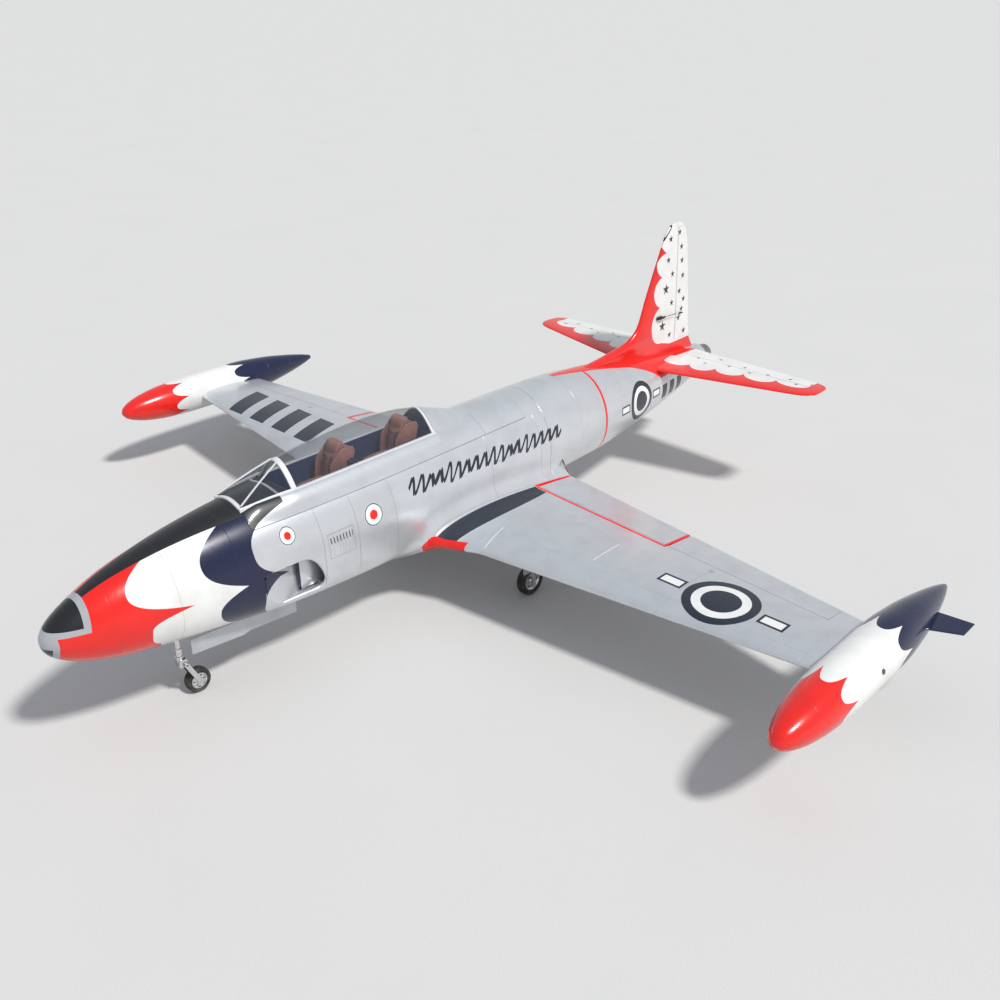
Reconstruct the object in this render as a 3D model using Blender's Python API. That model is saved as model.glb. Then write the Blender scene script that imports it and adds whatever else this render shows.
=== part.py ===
"""Radio-controlled jet trainer, one fifth scale, with two seats, tip tanks and a retracting tricycle gear.

Metres, +Z up. Every size below is a station aft of the nose tip (y), a height above the ground (z), or a
distance from the plane of symmetry (x, with the port wing at +X). The datum empty moves them all forward
by half the length, so that the origin is under the middle of the model.
"""
import math

import bmesh
import bpy
from mathutils import Matrix, Vector

# Driving dimensions
LENGTH = 2.345
GAP = 0.0003
SKIN = 0.0025
FACETS = 24

# Fuselage lines: (station, value) pairs, faired through the square root of the station
HALF_WIDTH = [(0, 0.004), (0.03, 0.041), (0.08, 0.061), (0.16, 0.083), (0.36, 0.112), (0.60, 0.133),
              (0.85, 0.138), (1.15, 0.136), (1.40, 0.131), (1.68, 0.118), (1.90, 0.098), (2.10, 0.072),
              (2.295, 0.044)]
TOP_LINE = [(0, 0.288), (0.03, 0.328), (0.08, 0.355), (0.16, 0.386), (0.36, 0.427), (0.50, 0.440),
            (0.80, 0.446), (1.20, 0.438), (1.50, 0.434), (1.68, 0.418), (1.90, 0.388), (2.10, 0.360),
            (2.295, 0.340)]
KEEL_LINE = [(0, 0.280), (0.03, 0.238), (0.08, 0.212), (0.16, 0.190), (0.36, 0.164), (0.60, 0.152),
             (1.00, 0.150), (1.40, 0.153), (1.68, 0.156), (1.90, 0.180), (2.10, 0.213), (2.295, 0.255)]
WAIST_LINE = [(0, 0.284), (0.16, 0.281), (0.50, 0.279), (1.68, 0.279), (2.10, 0.287), (2.295, 0.297)]
BILGE_POWER = [(0, 2.0), (0.30, 2.1), (0.62, 3.0), (0.85, 3.4), (1.10, 2.8), (1.40, 2.2), (2.295, 2.0)]
BODY_JOINT = 1.400
BODY_END = 2.295

# Lift-off covers
COVER_SEAM_Z = 0.392
HATCH_FRONT, HATCH_REAR = 0.459, 1.179
TURBINE_COVER_REAR = 1.335
FRONT_STATIONS = [0, 0.008, 0.03, 0.08, 0.16, 0.27, 0.40, HATCH_FRONT, 0.53, 0.66, 0.85, 1.05, HATCH_REAR,
                  TURBINE_COVER_REAR, BODY_JOINT]
REAR_STATIONS = [BODY_JOINT + GAP, 1.54, 1.68, 1.82, 1.96, 2.10, 2.20, BODY_END]
COCKPIT_FRONT, COCKPIT_REAR, COCKPIT_HALF_WIDTH = 0.560, 1.030, 0.0565

# Canopy: the glass stands on a rail round the cockpit, and the windscreen on the deck ahead of it
CANOPY_BASE_Z = 0.438
CANOPY_HALF_WIDTH = 0.062
CANOPY_CREST = [(0.588, 0.491), (0.70, 0.5045), (0.84, 0.512), (0.94, 0.506), (1.030, 0.489)]
CANOPY_SECTION_POWER = 1.75
FAIRING_CREST = [(1.031, 0.489), (1.08, 0.472), (1.13, 0.455), (1.172, 0.445)]
ARCH, HOOP = (0.588, 0.602), (1.021, 1.030)
SCREEN_FRONT, SCREEN_HALF_WIDTH, SCREEN_LOW = 0.463, 0.046, 0.4405
SCREEN_PANEL_TOP, SCREEN_SILL = 0.012, 0.4345
RAIL_FOOT_Z = 0.415
GLASS = 0.0016
STRUT_SECTION = ((-0.0018, 0.0004), (0.0018, 0.0004), (0.0012, 0.0026), (-0.0012, 0.0026))

# Wing: leading and trailing edges as station = a + b * x, and the height of the chord plane
WING_LEAD = (0.943, 0.112)
WING_TRAIL = (1.483, -0.165)
WING_PLANE = (0.186, 0.020)
WING_ROOT_X, WING_TIP_X = 0.150, 1.160
WING_THICKNESS = 0.118
# Near the fuselage the leading edge reaches forward of its line, as (x, reach), and inside the skin the root
# swells, as (x, rise of the chord plane, thickening)
ROOT_REACH = ((0.085, 0.110), (0.125, 0.062), (WING_ROOT_X, 0.036), (0.200, 0.020), (0.265, 0.0))
ROOT_SWELL = ((0.085, 0.004, 1.30), (0.125, 0.002, 1.14), (WING_ROOT_X, 0.0, 1.0))
SERVOS = (("aileron_servo_", 0.800, 1.200), ("flap_servo_", 0.446, 1.240))
FLAP_SPAN = (0.156, 0.612)
AILERON_SPAN = (0.617, 1.062)
HINGE_LINE = (1.336, -0.087)
JOINER_Y, JOINER_Z, JOINER_RADIUS, JOINER_HALF_SPAN = 1.225, 0.192, 0.009, 0.42

# Tip tanks
TANK_X, TANK_Z = 1.185, 0.210
TANK_PROFILE = [(0.810, 0.004), (0.820, 0.018), (0.845, 0.031), (0.890, 0.044), (0.960, 0.054),
                (1.060, 0.0585), (1.240, 0.0585), (1.350, 0.050), (1.450, 0.034), (1.530, 0.016),
                (1.561, 0.006)]

# Tail
FIN_LEAD = [(0.345, 1.50), (0.400, 1.56), (0.425, 1.80), (0.440, 1.900), (0.475, 1.953),
            (0.552, 1.986), (0.711, 2.060), (0.754, 2.083), (0.768, 2.105), (0.773, 2.125)]
FIN_TRAIL = [(0.345, 2.262), (0.387, 2.238), (0.552, 2.217), (0.704, 2.196), (0.746, 2.182), (0.768, 2.158),
             (0.773, 2.140)]
FIN_HALF_THICKNESS = [(0.345, 0.017), (0.400, 0.016), (0.440, 0.013), (0.475, 0.0115), (0.773, 0.006)]
RUDDER_HINGE = ((0.392, 2.152), (0.756, 2.138))
TAIL_LEAD = (1.960, 0.250)
TAIL_TRAIL = (2.231, -0.040)
TAIL_Z = 0.345
TAIL_ROOT_X, TAIL_TIP_X = 0.0185, 0.536
ELEVATOR_HINGE_Y = 2.158
ELEVATOR_SPAN = (0.062, 0.492)

# Intakes: the ramp in from the side as (station, inner x, outer x), and the duct behind it as (station, inner x,
# outer x, lower z, upper z)
RAMP = ((0.470, 0.0990, 0.1205), (0.530, 0.0920, 0.1045), (0.607, 0.0809, 0.0812))
RAMP_LOW, RAMP_HIGH, RAMP_DEPTH = 0.1985, 0.2905, 0.0025
DUCT = ((0.605, 0.0800, 0.1205, 0.203, 0.290), (0.75, 0.070, 0.116, 0.212, 0.292),
        (0.95, 0.058, 0.106, 0.226, 0.300), (1.12, 0.048, 0.100, 0.236, 0.322))
DUCT_WALL = 0.0015

# Turbine: (station, radius) profiles, and the jet pipe behind it
ENGINE_Z, ROTOR_Y = 0.285, 1.388
CASING_PROFILE = [(1.375, 0.052), (1.385, 0.056), (1.540, 0.056), (1.590, 0.040), (1.6500, 0.028),
                  (1.6500, 0.0265), (1.590, 0.0385), (1.540, 0.0545), (1.385, 0.0545), (1.375, 0.050)]
SHAFT_PROFILE = [(1.362, 0.010), (1.372, 0.017), (1.398, 0.020), (1.400, 0.007), (1.560, 0.007),
                 (1.562, 0.018), (1.575, 0.018), (1.577, 0.004)]
PIPE_RADIUS, PIPE_WALL, PIPE_START, PIPE_NECK = 0.030, 0.002, 1.652, 1.690
PIPE_CENTRE = [(PIPE_START, ENGINE_Z), (2.20, 0.2950), (LENGTH, 0.2970)]

# Nose gear
NOSE_PIVOT = Vector((0, 0.284, 0.205))
NOSE_LINK_PIVOT = Vector((0, 0.290, 0.090))
WHEEL_FACETS = 20
FLAT = math.cos(math.pi / WHEEL_FACETS)
NOSE_WHEEL_RADIUS, NOSE_WHEEL_WIDTH = 0.030, 0.026
NOSE_AXLE = Vector((0, 0.318, NOSE_WHEEL_RADIUS * FLAT))
NOSE_BAY = (0.262, 0.577, 0.0445)
NOSE_DOOR_X = 0.046
NOSE_DOOR_OUTLINE = [(0.2935, 0.040), (0.425, 0.0440), (0.445, 0.0385), (0.574, 0.0405)]

# Main gear, port side
MAIN_X, MAIN_Y, MAIN_PIVOT_Z = 0.281, 1.147, 0.188
MAIN_WHEEL_RADIUS, MAIN_WHEEL_WIDTH = 0.042, 0.026
MAIN_AXLE_Z = MAIN_WHEEL_RADIUS * FLAT
MAIN_LINK_PIVOT = (1.128, 0.098)
WELL_X, WELL_HALF_LENGTH, WELL_TOP = (0.090, 0.306), 0.053, 0.206


def clear_scene():
    for obj in list(bpy.data.objects):
        bpy.data.objects.remove(obj)


# ---------------------------------------------------------------------------------------------- helpers

def line(pair, x):
    return pair[0] + pair[1] * x


def fair(points, at, warp=lambda value: value):
    """A smooth curve through (place, value) points that doesn't overshoot them."""
    xs = [warp(place) for place, _ in points]
    ys = [value for _, value in points]
    x = min(max(warp(at), xs[0]), xs[-1])
    steps = [b - a for a, b in zip(xs, xs[1:])]
    slopes = [(d - c) / step for c, d, step in zip(ys, ys[1:], steps)]
    tangents = [slopes[0]]
    for before, after in zip(slopes, slopes[1:]):
        tangents.append(0 if before * after <= 0 else 2 * before * after / (before + after))
    tangents.append(slopes[-1])
    k = max(i for i in range(len(steps)) if i == 0 or xs[i] <= x)
    t = (x - xs[k]) / steps[k]
    return ((2 * t**3 - 3 * t**2 + 1) * ys[k] + (t**3 - 2 * t**2 + t) * steps[k] * tangents[k]
            + (3 * t**2 - 2 * t**3) * ys[k + 1] + (t**3 - t**2) * steps[k] * tangents[k + 1])


def superellipse(angle, power):
    c, s = math.cos(angle), math.sin(angle)
    return (math.copysign(abs(c) ** (2 / power), c), math.copysign(abs(s) ** (2 / power), s))


def fuselage_ring(y, inset=0.0, count=FACETS):
    """One section of the fuselage, moved in by inset (out where it is negative)."""
    half, top, keel, waist, power = (
        fair(points, y, math.sqrt) for points in (HALF_WIDTH, TOP_LINE, KEEL_LINE, WAIST_LINE, BILGE_POWER))
    ring = []
    for k in range(count):
        angle = 2 * math.pi * k / count
        upper = math.sin(angle) >= 0
        across, up = superellipse(angle, 2.0 if upper else power)
        height = (top - waist if upper else waist - keel) - inset
        ring.append((across * (half - inset), y, waist + up * height))
    return ring


def loft(rings, closed=False):
    """A mesh through rings of equal counts, capped at both ends unless it closes on itself."""
    bm = bmesh.new()
    rows = [[bm.verts.new(point) for point in ring] for ring in rings]
    pairs = list(zip(rows, rows[1:])) + ([(rows[-1], rows[0])] if closed else [])
    for a, b in pairs:
        for k in range(len(a)):
            n = (k + 1) % len(a)
            bm.faces.new((a[k], a[n], b[n], b[k]))
    if not closed:
        bm.faces.new(rows[0][::-1])
        bm.faces.new(rows[-1])
    bmesh.ops.recalc_face_normals(bm, faces=bm.faces[:])
    return bm


def box(low, high):
    bm = bmesh.new()
    size = Vector(high) - Vector(low)
    centre = (Vector(high) + Vector(low)) / 2
    bmesh.ops.create_cube(bm, size=1, matrix=Matrix.Translation(centre) @ Matrix.Diagonal((*size, 1)))
    return bm


AXES = {"X": Matrix.Rotation(math.pi / 2, 4, "Y"), "Y": Matrix.Rotation(-math.pi / 2, 4, "X"),
        "Z": Matrix.Identity(4)}


def rod(centre, radius, length, axis="Z", sides=12):
    bm = bmesh.new()
    bmesh.ops.create_cone(bm, cap_ends=True, segments=sides, radius1=radius, radius2=radius, depth=length,
                          matrix=Matrix.Translation(centre) @ AXES[axis])
    return bm


def turned(profile, centre, axis="X", sides=WHEEL_FACETS, ring=False):
    """A solid of revolution through (along, radius) points; a ring profile closes on itself."""
    rings = []
    for along, radius in profile:
        row = []
        for k in range(sides):
            angle = 2 * math.pi * (k + 0.5) / sides
            a, b = radius * math.sin(angle), -radius * math.cos(angle)
            offset = {"X": (along, a, b), "Y": (a, along, b), "Z": (a, b, along)}[axis]
            row.append(Vector(centre) + Vector(offset))
        rings.append(row)
    return loft(rings, closed=ring)


def mirrored(bm):
    bmesh.ops.transform(bm, matrix=Matrix.Diagonal((-1, 1, 1, 1)), verts=bm.verts)
    bmesh.ops.reverse_faces(bm, faces=bm.faces)
    return bm


MATERIALS = {
    "silver_skin": ((0.70, 0.72, 0.76), 0.38, 0.6), "red_paint": ((0.85, 0.05, 0.03), 0.35, 0.0),
    "clear_glass": ((0.75, 0.80, 0.82), 0.05, 0.0), "silver_frame": ((0.78, 0.80, 0.83), 0.35, 0.5),
    "cockpit_black": ((0.03, 0.03, 0.04), 0.6, 0.0), "seat_brown": ((0.30, 0.12, 0.10), 0.7, 0.0),
    "bright_metal": ((0.80, 0.80, 0.82), 0.22, 1.0), "tyre_rubber": ((0.03, 0.03, 0.03), 0.8, 0.0),
    "hot_metal": ((0.45, 0.42, 0.40), 0.4, 1.0), "white_plastic": ((0.85, 0.85, 0.83), 0.45, 0.0),
    "black_plastic": ((0.05, 0.05, 0.06), 0.5, 0.0), "plywood": ((0.62, 0.45, 0.27), 0.7, 0.0),
    "carbon": ((0.04, 0.04, 0.05), 0.35, 0.2), "battery_wrap": ((0.08, 0.12, 0.35), 0.5, 0.0),
    "cast_ballast": ((0.35, 0.36, 0.38), 0.6, 0.8), "grey_panel": ((0.55, 0.57, 0.60), 0.45, 0.2),
}


def material(name):
    found = bpy.data.materials.get(name)
    if found:
        return found
    colour, roughness, metallic = MATERIALS[name]
    made = bpy.data.materials.new(name)
    made.use_nodes = True
    shader = made.node_tree.nodes["Principled BSDF"]
    shader.inputs["Base Color"].default_value = (*colour, 1)
    shader.inputs["Roughness"].default_value = roughness
    shader.inputs["Metallic"].default_value = metallic
    return made


datum = None


def solid(name, bm, finish, pivot=(0, 0, 0), smooth=True):
    """An object of one sub-part, with its origin at pivot."""
    pivot = Vector(pivot)
    bmesh.ops.translate(bm, vec=-pivot, verts=bm.verts)
    mesh = bpy.data.meshes.new(name)
    bm.to_mesh(mesh)
    bm.free()
    obj = bpy.data.objects.new(name, mesh)
    bpy.context.scene.collection.objects.link(obj)
    obj.parent = datum
    obj.location = pivot
    if finish:
        mesh.materials.append(material(finish))
    if smooth:
        mesh.shade_smooth()
        mesh.set_sharp_from_angle(angle=math.radians(35))
    return obj


def cutter(name, bm):
    obj = solid(name + "_cutter", bm, None, smooth=False)
    obj.hide_render = True
    obj.display_type = "WIRE"
    return obj


def boolean(obj, tool, operation="DIFFERENCE"):
    step = obj.modifiers.new(tool.name, "BOOLEAN")
    step.operation = operation
    step.object = tool


def assembled(name, parts, finish, pivot=(0, 0, 0), smooth=True):
    """One body made of overlapping pieces."""
    obj = solid(name, parts[0], finish, pivot, smooth)
    for k, part in enumerate(parts[1:]):
        boolean(obj, cutter(f"{name}_piece_{k}", part), "UNION")
    return obj


# --------------------------------------------------------------------------------------------- fuselage

def fuselage_body(inset):
    return loft([fuselage_ring(y, inset) for y in FRONT_STATIONS[:-1] + REAR_STATIONS])


def seam_block(front, rear, low=COVER_SEAM_Z):
    return box((-0.2, front, low), (0.2, rear, 0.6))


def gear_well(side, grow=0.0):
    x0, x1 = WELL_X[0] - grow, WELL_X[1] + grow
    low = (x0, MAIN_Y - WELL_HALF_LENGTH - grow, 0.10)
    high = (x1, MAIN_Y + WELL_HALF_LENGTH + grow, WELL_TOP + grow)
    well = box(low, high)
    return well if side > 0 else mirrored(well)


def wing_lead(x):
    """Station of the leading edge, with its reach forward near the fuselage."""
    reach = 0.0
    for (x0, reach0), (x1, reach1) in zip(ROOT_REACH, ROOT_REACH[1:]):
        if x0 <= x <= x1:
            reach = reach0 + (reach1 - reach0) * (x - x0) / (x1 - x0)
    return line(WING_LEAD, x) - reach


def wing_fillet(side):
    """The wing root moulded with the fuselage: it swells and reaches forward where it meets the side."""
    rings = []
    for x, rise, thickening in ROOT_SWELL:
        rings.append(airfoil(x, wing_lead(x), line(WING_TRAIL, x), line(WING_PLANE, x) + rise,
                             WING_THICKNESS * thickening))
    fillet = loft(rings)
    bmesh.ops.bisect_plane(fillet, geom=fillet.verts[:] + fillet.edges[:] + fillet.faces[:],
                           plane_co=(0, BODY_JOINT, 0), plane_no=(0, 1, 0), clear_outer=True)
    bmesh.ops.holes_fill(fillet, edges=fillet.edges[:])
    return side_of(fillet, side)


def make_fuselage():
    outer = [fuselage_ring(y) for y in FRONT_STATIONS]
    inner = [fuselage_ring(y, SKIN) for y in FRONT_STATIONS[2:]]
    front = solid("fuselage_front", loft(outer + inner[::-1]), "silver_skin")
    rear_rings = [fuselage_ring(y) for y in REAR_STATIONS]
    rear_inner = [fuselage_ring(y, SKIN) for y in REAR_STATIONS]
    rear = solid("fuselage_rear", loft(rear_rings + rear_inner[::-1], closed=True), "silver_skin")
    boolean(front, cutter("covers", seam_block(HATCH_FRONT, TURBINE_COVER_REAR)))
    boolean(front, cutter("nose_bay", box((-NOSE_BAY[2], NOSE_BAY[0], 0.10),
                                          (NOSE_BAY[2], NOSE_BAY[1], 0.22))))
    core_stations = (0.6, 0.8, 1.0, 1.2, 1.38, 1.48, 1.7)
    core = cutter("core", loft([fuselage_ring(y, SKIN * 0.6) for y in core_stations]))
    for side, label in ((1, "left"), (-1, "right")):
        fillet = cutter("wing_fillet_" + label, wing_fillet(side))
        boolean(fillet, core)
        boolean(front, fillet, "UNION")
        boolean(front, cutter("well_" + label, gear_well(side)))
        boolean(front, cutter("scoop_" + label, box((side * 0.135 - 0.055, 0.468, 0.1965),
                                                    (side * 0.135 + 0.055, 0.6005, 0.2925))))
    boolean(front, cutter("joiner_bore", rod((0, JOINER_Y, JOINER_Z), JOINER_RADIUS + GAP, 1.0, "X", 16)))
    return front, rear


def cover_shell(front, rear):
    stations = [front] + [y for y in FRONT_STATIONS if front + GAP < y < rear - GAP] + [rear]
    outer = [fuselage_ring(y) for y in stations]
    inner = [fuselage_ring(y, SKIN) for y in stations]
    return loft(outer + inner[::-1], closed=True)


def make_covers():
    hatch = solid("cockpit_hatch", cover_shell(HATCH_FRONT + GAP, HATCH_REAR - GAP), "silver_skin")
    hatch_keep = seam_block(HATCH_FRONT, HATCH_REAR, COVER_SEAM_Z + GAP)
    boolean(hatch, cutter("hatch_keep", hatch_keep), "INTERSECT")
    boolean(hatch, cutter("cockpit_hole", box((-COCKPIT_HALF_WIDTH, COCKPIT_FRONT, 0.35),
                                              (COCKPIT_HALF_WIDTH, COCKPIT_REAR, 0.6))))
    cover = solid("turbine_cover", cover_shell(HATCH_REAR + GAP, TURBINE_COVER_REAR - GAP), "silver_skin")
    boolean(cover, cutter("cover_keep", seam_block(HATCH_REAR, TURBINE_COVER_REAR, COVER_SEAM_Z + GAP)),
            "INTERSECT")
    return hatch


def canopy_ring(y, crest, inset, steps=11, base=CANOPY_BASE_Z):
    """A pointed arch over the rails, from starboard to port."""
    half = CANOPY_HALF_WIDTH - inset
    rise = fair(crest, y) - base - inset
    ring = []
    for k in range(steps):
        across = -math.cos(math.pi * k / (steps - 1))
        ring.append((half * across, y, base + rise * (1 - abs(across) ** CANOPY_SECTION_POWER)))
    return ring


def canopy_band(ends, outward, inward, base=CANOPY_BASE_Z):
    """A band round the canopy between two stations."""
    return loft([canopy_ring(y, CANOPY_CREST, -outward, base=base)
                 + canopy_ring(y, CANOPY_CREST, inward, base=base)[::-1] for y in ends])


def screen_lines(share):
    """Station, panel edge, foot and height of the flat front panel, from its low front edge to the arch."""
    y = SCREEN_FRONT + (ARCH[0] - GAP - SCREEN_FRONT) * share
    panel = SCREEN_HALF_WIDTH + (SCREEN_PANEL_TOP - SCREEN_HALF_WIDTH) * share
    foot = SCREEN_HALF_WIDTH + (CANOPY_HALF_WIDTH - SCREEN_HALF_WIDTH) * share
    top = SCREEN_LOW + 0.0025 + (CANOPY_CREST[0][1] - 0.0055 - SCREEN_LOW) * share
    return y, panel, foot, top


def windscreen_ring(share, inset):
    """The flat panel, its two curved quarter lights and the skirt under them, from starboard to port."""
    y, panel, foot, top = screen_lines(share)
    foot -= inset
    top -= inset
    quarter = [(foot, y, RAIL_FOOT_Z)]
    for q in (1.0, 0.75, 0.45, 0.2, 0.0):
        quarter.append((panel + (foot - panel) * q, y, SCREEN_SILL + (top - SCREEN_SILL) * (1 - q**1.5)))
    return [(-x, y, z) for x, y, z in quarter] + quarter[::-1]


def screen_frame(side):
    """The strut along one edge of the flat panel, and the rail under the quarter light."""
    strut, rail = [], []
    for share in (0.0, 1.02):
        y, panel, foot, top = screen_lines(share)
        strut.append([(side * (panel + across), y, top + up) for across, up in STRUT_SECTION])
    for share in (-0.05, 0.5, 1.05):
        y, _, foot, _ = screen_lines(share)
        rail.append([(side * (foot + across), y, z)
                     for across, z in ((0.0005, RAIL_FOOT_Z), (0.0055, RAIL_FOOT_Z), (0.0040, SCREEN_LOW),
                                       (0.0005, SCREEN_LOW + 0.0015))])
    return [loft(strut), loft(rail)]


def make_canopy(hatch, body_cutter):
    stations = (ARCH[1] + GAP, 0.66, 0.74, 0.84, 0.94, HOOP[0] - GAP)
    solid("canopy_glass", canopy_band(stations, 0, GLASS), "clear_glass")
    shares = (0.03, 0.3, 0.6, 0.8, 1.0)
    screen = [windscreen_ring(s, 0) + windscreen_ring(s, GLASS)[::-1] for s in shares]
    boolean(solid("windscreen_glass", loft(screen), "clear_glass"), body_cutter)
    sill = CANOPY_BASE_Z - GAP
    pieces = [canopy_band(ARCH, 0.0015, 0.004, CANOPY_BASE_Z - 0.003),
              canopy_band(HOOP, 0.0005, 0.004, CANOPY_BASE_Z - 0.003)]
    for side in (1, -1):
        rail = side * (CANOPY_HALF_WIDTH + 0.0005)
        pieces.append(box((rail - 0.0050, ARCH[0], RAIL_FOOT_Z), (rail + 0.0050, HOOP[1], sill)))
        pieces += screen_frame(side)
    front_reach = SCREEN_HALF_WIDTH + 0.0048
    pieces.append(box((-front_reach, SCREEN_FRONT - 0.0075, RAIL_FOOT_Z),
                      (front_reach, SCREEN_FRONT - 0.0005, SCREEN_LOW + 0.0040)))
    pieces.append(box((-CANOPY_HALF_WIDTH, HOOP[0], RAIL_FOOT_Z), (CANOPY_HALF_WIDTH, HOOP[1], sill)))
    frame = assembled("canopy_frame", pieces, "silver_frame")
    boolean(frame, body_cutter)
    rings = []
    for y in (1.0305, 1.08, 1.13, 1.172):
        half = CANOPY_HALF_WIDTH - 0.25 * (y - 1.03)
        base = CANOPY_BASE_Z - 0.018 * (y - 1.03)
        top = fair(FAIRING_CREST, y)
        ring = [(-half, y, RAIL_FOOT_Z)]
        for k in range(9):
            across = -math.cos(math.pi * k / 8)
            ring.append((half * across, y, base + (top - base) * (1 - abs(across) ** CANOPY_SECTION_POWER)))
        rings.append(ring + [(half, y, RAIL_FOOT_Z)])
    boolean(hatch, cutter("turtle_deck", loft(rings)), "UNION")


def make_cockpit():
    shell = box((-0.0550, 0.5615, 0.3300), (0.0550, 1.0200, 0.4355))
    tub = solid("cockpit_tub", shell, "cockpit_black", smooth=False)
    boolean(tub, cutter("tub_hollow", box((-0.0535, 0.5630, 0.3320), (0.0535, 1.0185, 0.50))))
    for label, y, dash_y in (("front", 0.735, 0.5625), ("rear", 0.940, 0.772)):
        back = loft([[(-0.030, y + 0.028 * s, z), (0.030, y + 0.028 * s, z),
                      (0.030, y + 0.022 + 0.028 * s, z), (-0.030, y + 0.022 + 0.028 * s, z)]
                     for s, z in ((-0.5, 0.345), (0.4, 0.452))])
        cushion = box((-0.030, y - 0.085, 0.3324), (0.030, y + 0.004, 0.362))
        headrest = box((-0.020, y + 0.012, 0.440), (0.020, y + 0.033, 0.474))
        assembled("seat_" + label, [back, cushion, headrest], "seat_brown")
        dash = box((-0.0545, dash_y, 0.3310), (0.0545, dash_y + 0.016, 0.4372))
        boolean(tub, cutter("instrument_panel_" + label, dash), "UNION")


# ------------------------------------------------------------------------------------------------- wing

AIRFOIL_STEPS = 9


def airfoil(x, lead, trail, plane, ratio, camber=0.12):
    """A closed section at x: upper side from the trailing edge to the leading edge, then the lower side."""
    chord = trail - lead
    spots = [0.5 - 0.5 * math.cos(math.pi * k / (AIRFOIL_STEPS - 1)) for k in range(AIRFOIL_STEPS)]
    points = []
    for face in (1, -1):
        row = []
        for s in spots:
            half = 5 * ratio * chord * (0.2969 * math.sqrt(s) - 0.1260 * s - 0.3516 * s**2 + 0.2843 * s**3
                                        - 0.0936 * s**4)
            lift = camber * ratio * chord * 4 * s * (1 - s) * 0.5
            row.append((x, lead + chord * s, plane + lift + face * (half + 0.0009 * s)))
        points += row[::-1] if face > 0 else row[1:]
    return points


def wing_section(x):
    return airfoil(x, wing_lead(x), line(WING_TRAIL, x), line(WING_PLANE, x), WING_THICKNESS)


def wing_surface_z(x, y, face):
    """Height of the wing's upper (1) or lower (-1) surface."""
    section = wing_section(x)
    lower, upper = section[AIRFOIL_STEPS - 1:], section[:AIRFOIL_STEPS]
    row = sorted(((p[1], p[2]) for p in (upper if face > 0 else lower)))
    for (y0, z0), (y1, z1) in zip(row, row[1:]):
        if y0 <= y <= y1:
            return z0 + (z1 - z0) * (y - y0) / (y1 - y0)
    return row[-1][1]


def bay(span, hinge, front_gap):
    """An upright block that reaches aft from a little ahead of a hinge line."""
    rings = []
    for x in span:
        y = line(hinge, x) + front_gap
        rings.append([(x, y, 0.35), (x, 1.60, 0.35), (x, 1.60, 0.05), (x, y, 0.05)])
    return loft(rings)


def leaning_block(span, hinge, pivot_z, lean):
    """A block behind a hinge line whose front leans aft below pivot_z and is upright above it."""
    rings = []
    for x in span:
        y = line(hinge, x)
        pivot = pivot_z(x)
        rings.append([(x, y, 0.35), (x, 1.60, 0.35), (x, 1.60, 0.12), (x, y + lean * (pivot - 0.12), 0.12),
                      (x, y, pivot)])
    return loft(rings)


def side_of(bm, side):
    return bm if side > 0 else mirrored(bm)


def tank_ring(y, radius, grow=0.0, count=16):
    return [(TANK_X + (radius + grow) * math.cos(2 * math.pi * k / count), y,
             TANK_Z + (radius + grow) * math.sin(2 * math.pi * k / count)) for k in range(count)]


def aileron_pivot_z(x):
    return wing_surface_z(x, line(HINGE_LINE, x), 1) - 0.0005


def flap_pivot_z(x):
    return wing_surface_z(x, line(HINGE_LINE, x), -1) + 0.0005


def make_wing(side, label):
    panel = loft([wing_section(x) for x in (WING_ROOT_X + GAP, 0.20, 0.265, 0.614, 0.90, WING_TIP_X)])
    wing = solid("wing_" + label, side_of(panel, side), "silver_skin")
    tank_hull = loft([tank_ring(y, r, GAP) for y, r in TANK_PROFILE])
    boolean(wing, cutter("tip_" + label, side_of(tank_hull, side)))
    open_span = (FLAP_SPAN[0] - 0.0012, AILERON_SPAN[1] + 0.0012)
    boolean(wing, cutter("flap_bay_" + label, side_of(bay(open_span, HINGE_LINE, -0.0012), side)))
    boolean(wing, cutter("wing_well_" + label, gear_well(side)))
    boolean(wing, cutter("retract_bay_" + label,
                         side_of(box((0.262, 1.117, 0.10), (0.342, 1.177, 0.2075)), side)))
    bore = rod((0, JOINER_Y, JOINER_Z), JOINER_RADIUS + GAP, 2 * JOINER_HALF_SPAN + 0.004, "X", 16)
    boolean(wing, cutter("wing_bore_" + label, bore))
    for name, x, y in SERVOS:
        low = wing_surface_z(x, y, -1)
        servo_bay = box((x - 0.0165, y - 0.0085, low - 0.02), (x + 0.0165, y + 0.0085, low + 0.0125))
        boolean(wing, cutter(name + "bay_" + label, side_of(servo_bay, side)))


def make_control_surface(name, span, hinge, pivot_z, lean, side, finish="silver_skin"):
    """A flap or aileron, cut from the wing's own shape, with its origin on its hinge axis."""
    stations = (span[0], (span[0] + span[1]) / 2, span[1])
    inboard, outboard = span
    pivot = Vector((side * inboard, line(hinge, inboard), pivot_z(inboard)))
    surface = loft([wing_section(x) for x in (inboard - 0.02, stations[1], outboard + 0.02)])
    obj = solid(name, side_of(surface, side), finish, pivot)
    keep = side_of(leaning_block(stations, hinge, pivot_z, lean), side)
    boolean(obj, cutter(name + "_keep", keep), "INTERSECT")


def make_wing_surfaces(side, label):
    make_control_surface("flap_" + label, FLAP_SPAN, HINGE_LINE, flap_pivot_z, 0.0, side)
    aileron_lean = math.tan(math.radians(24))
    make_control_surface("aileron_" + label, AILERON_SPAN, HINGE_LINE, aileron_pivot_z, aileron_lean, side)


def make_tank(side, label):
    plate = loft([[(1.205, 1.350, z), (1.297, 1.394, z), (1.297, 1.450, z), (1.190, 1.440, z)]
                  for z in (TANK_Z - 0.0022, TANK_Z + 0.0022)])
    hull = loft([tank_ring(y, r) for y, r in TANK_PROFILE])
    assembled("tip_tank_" + label, [side_of(hull, side), side_of(plate, side)], "silver_skin")


# ------------------------------------------------------------------------------------------------- tail

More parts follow.
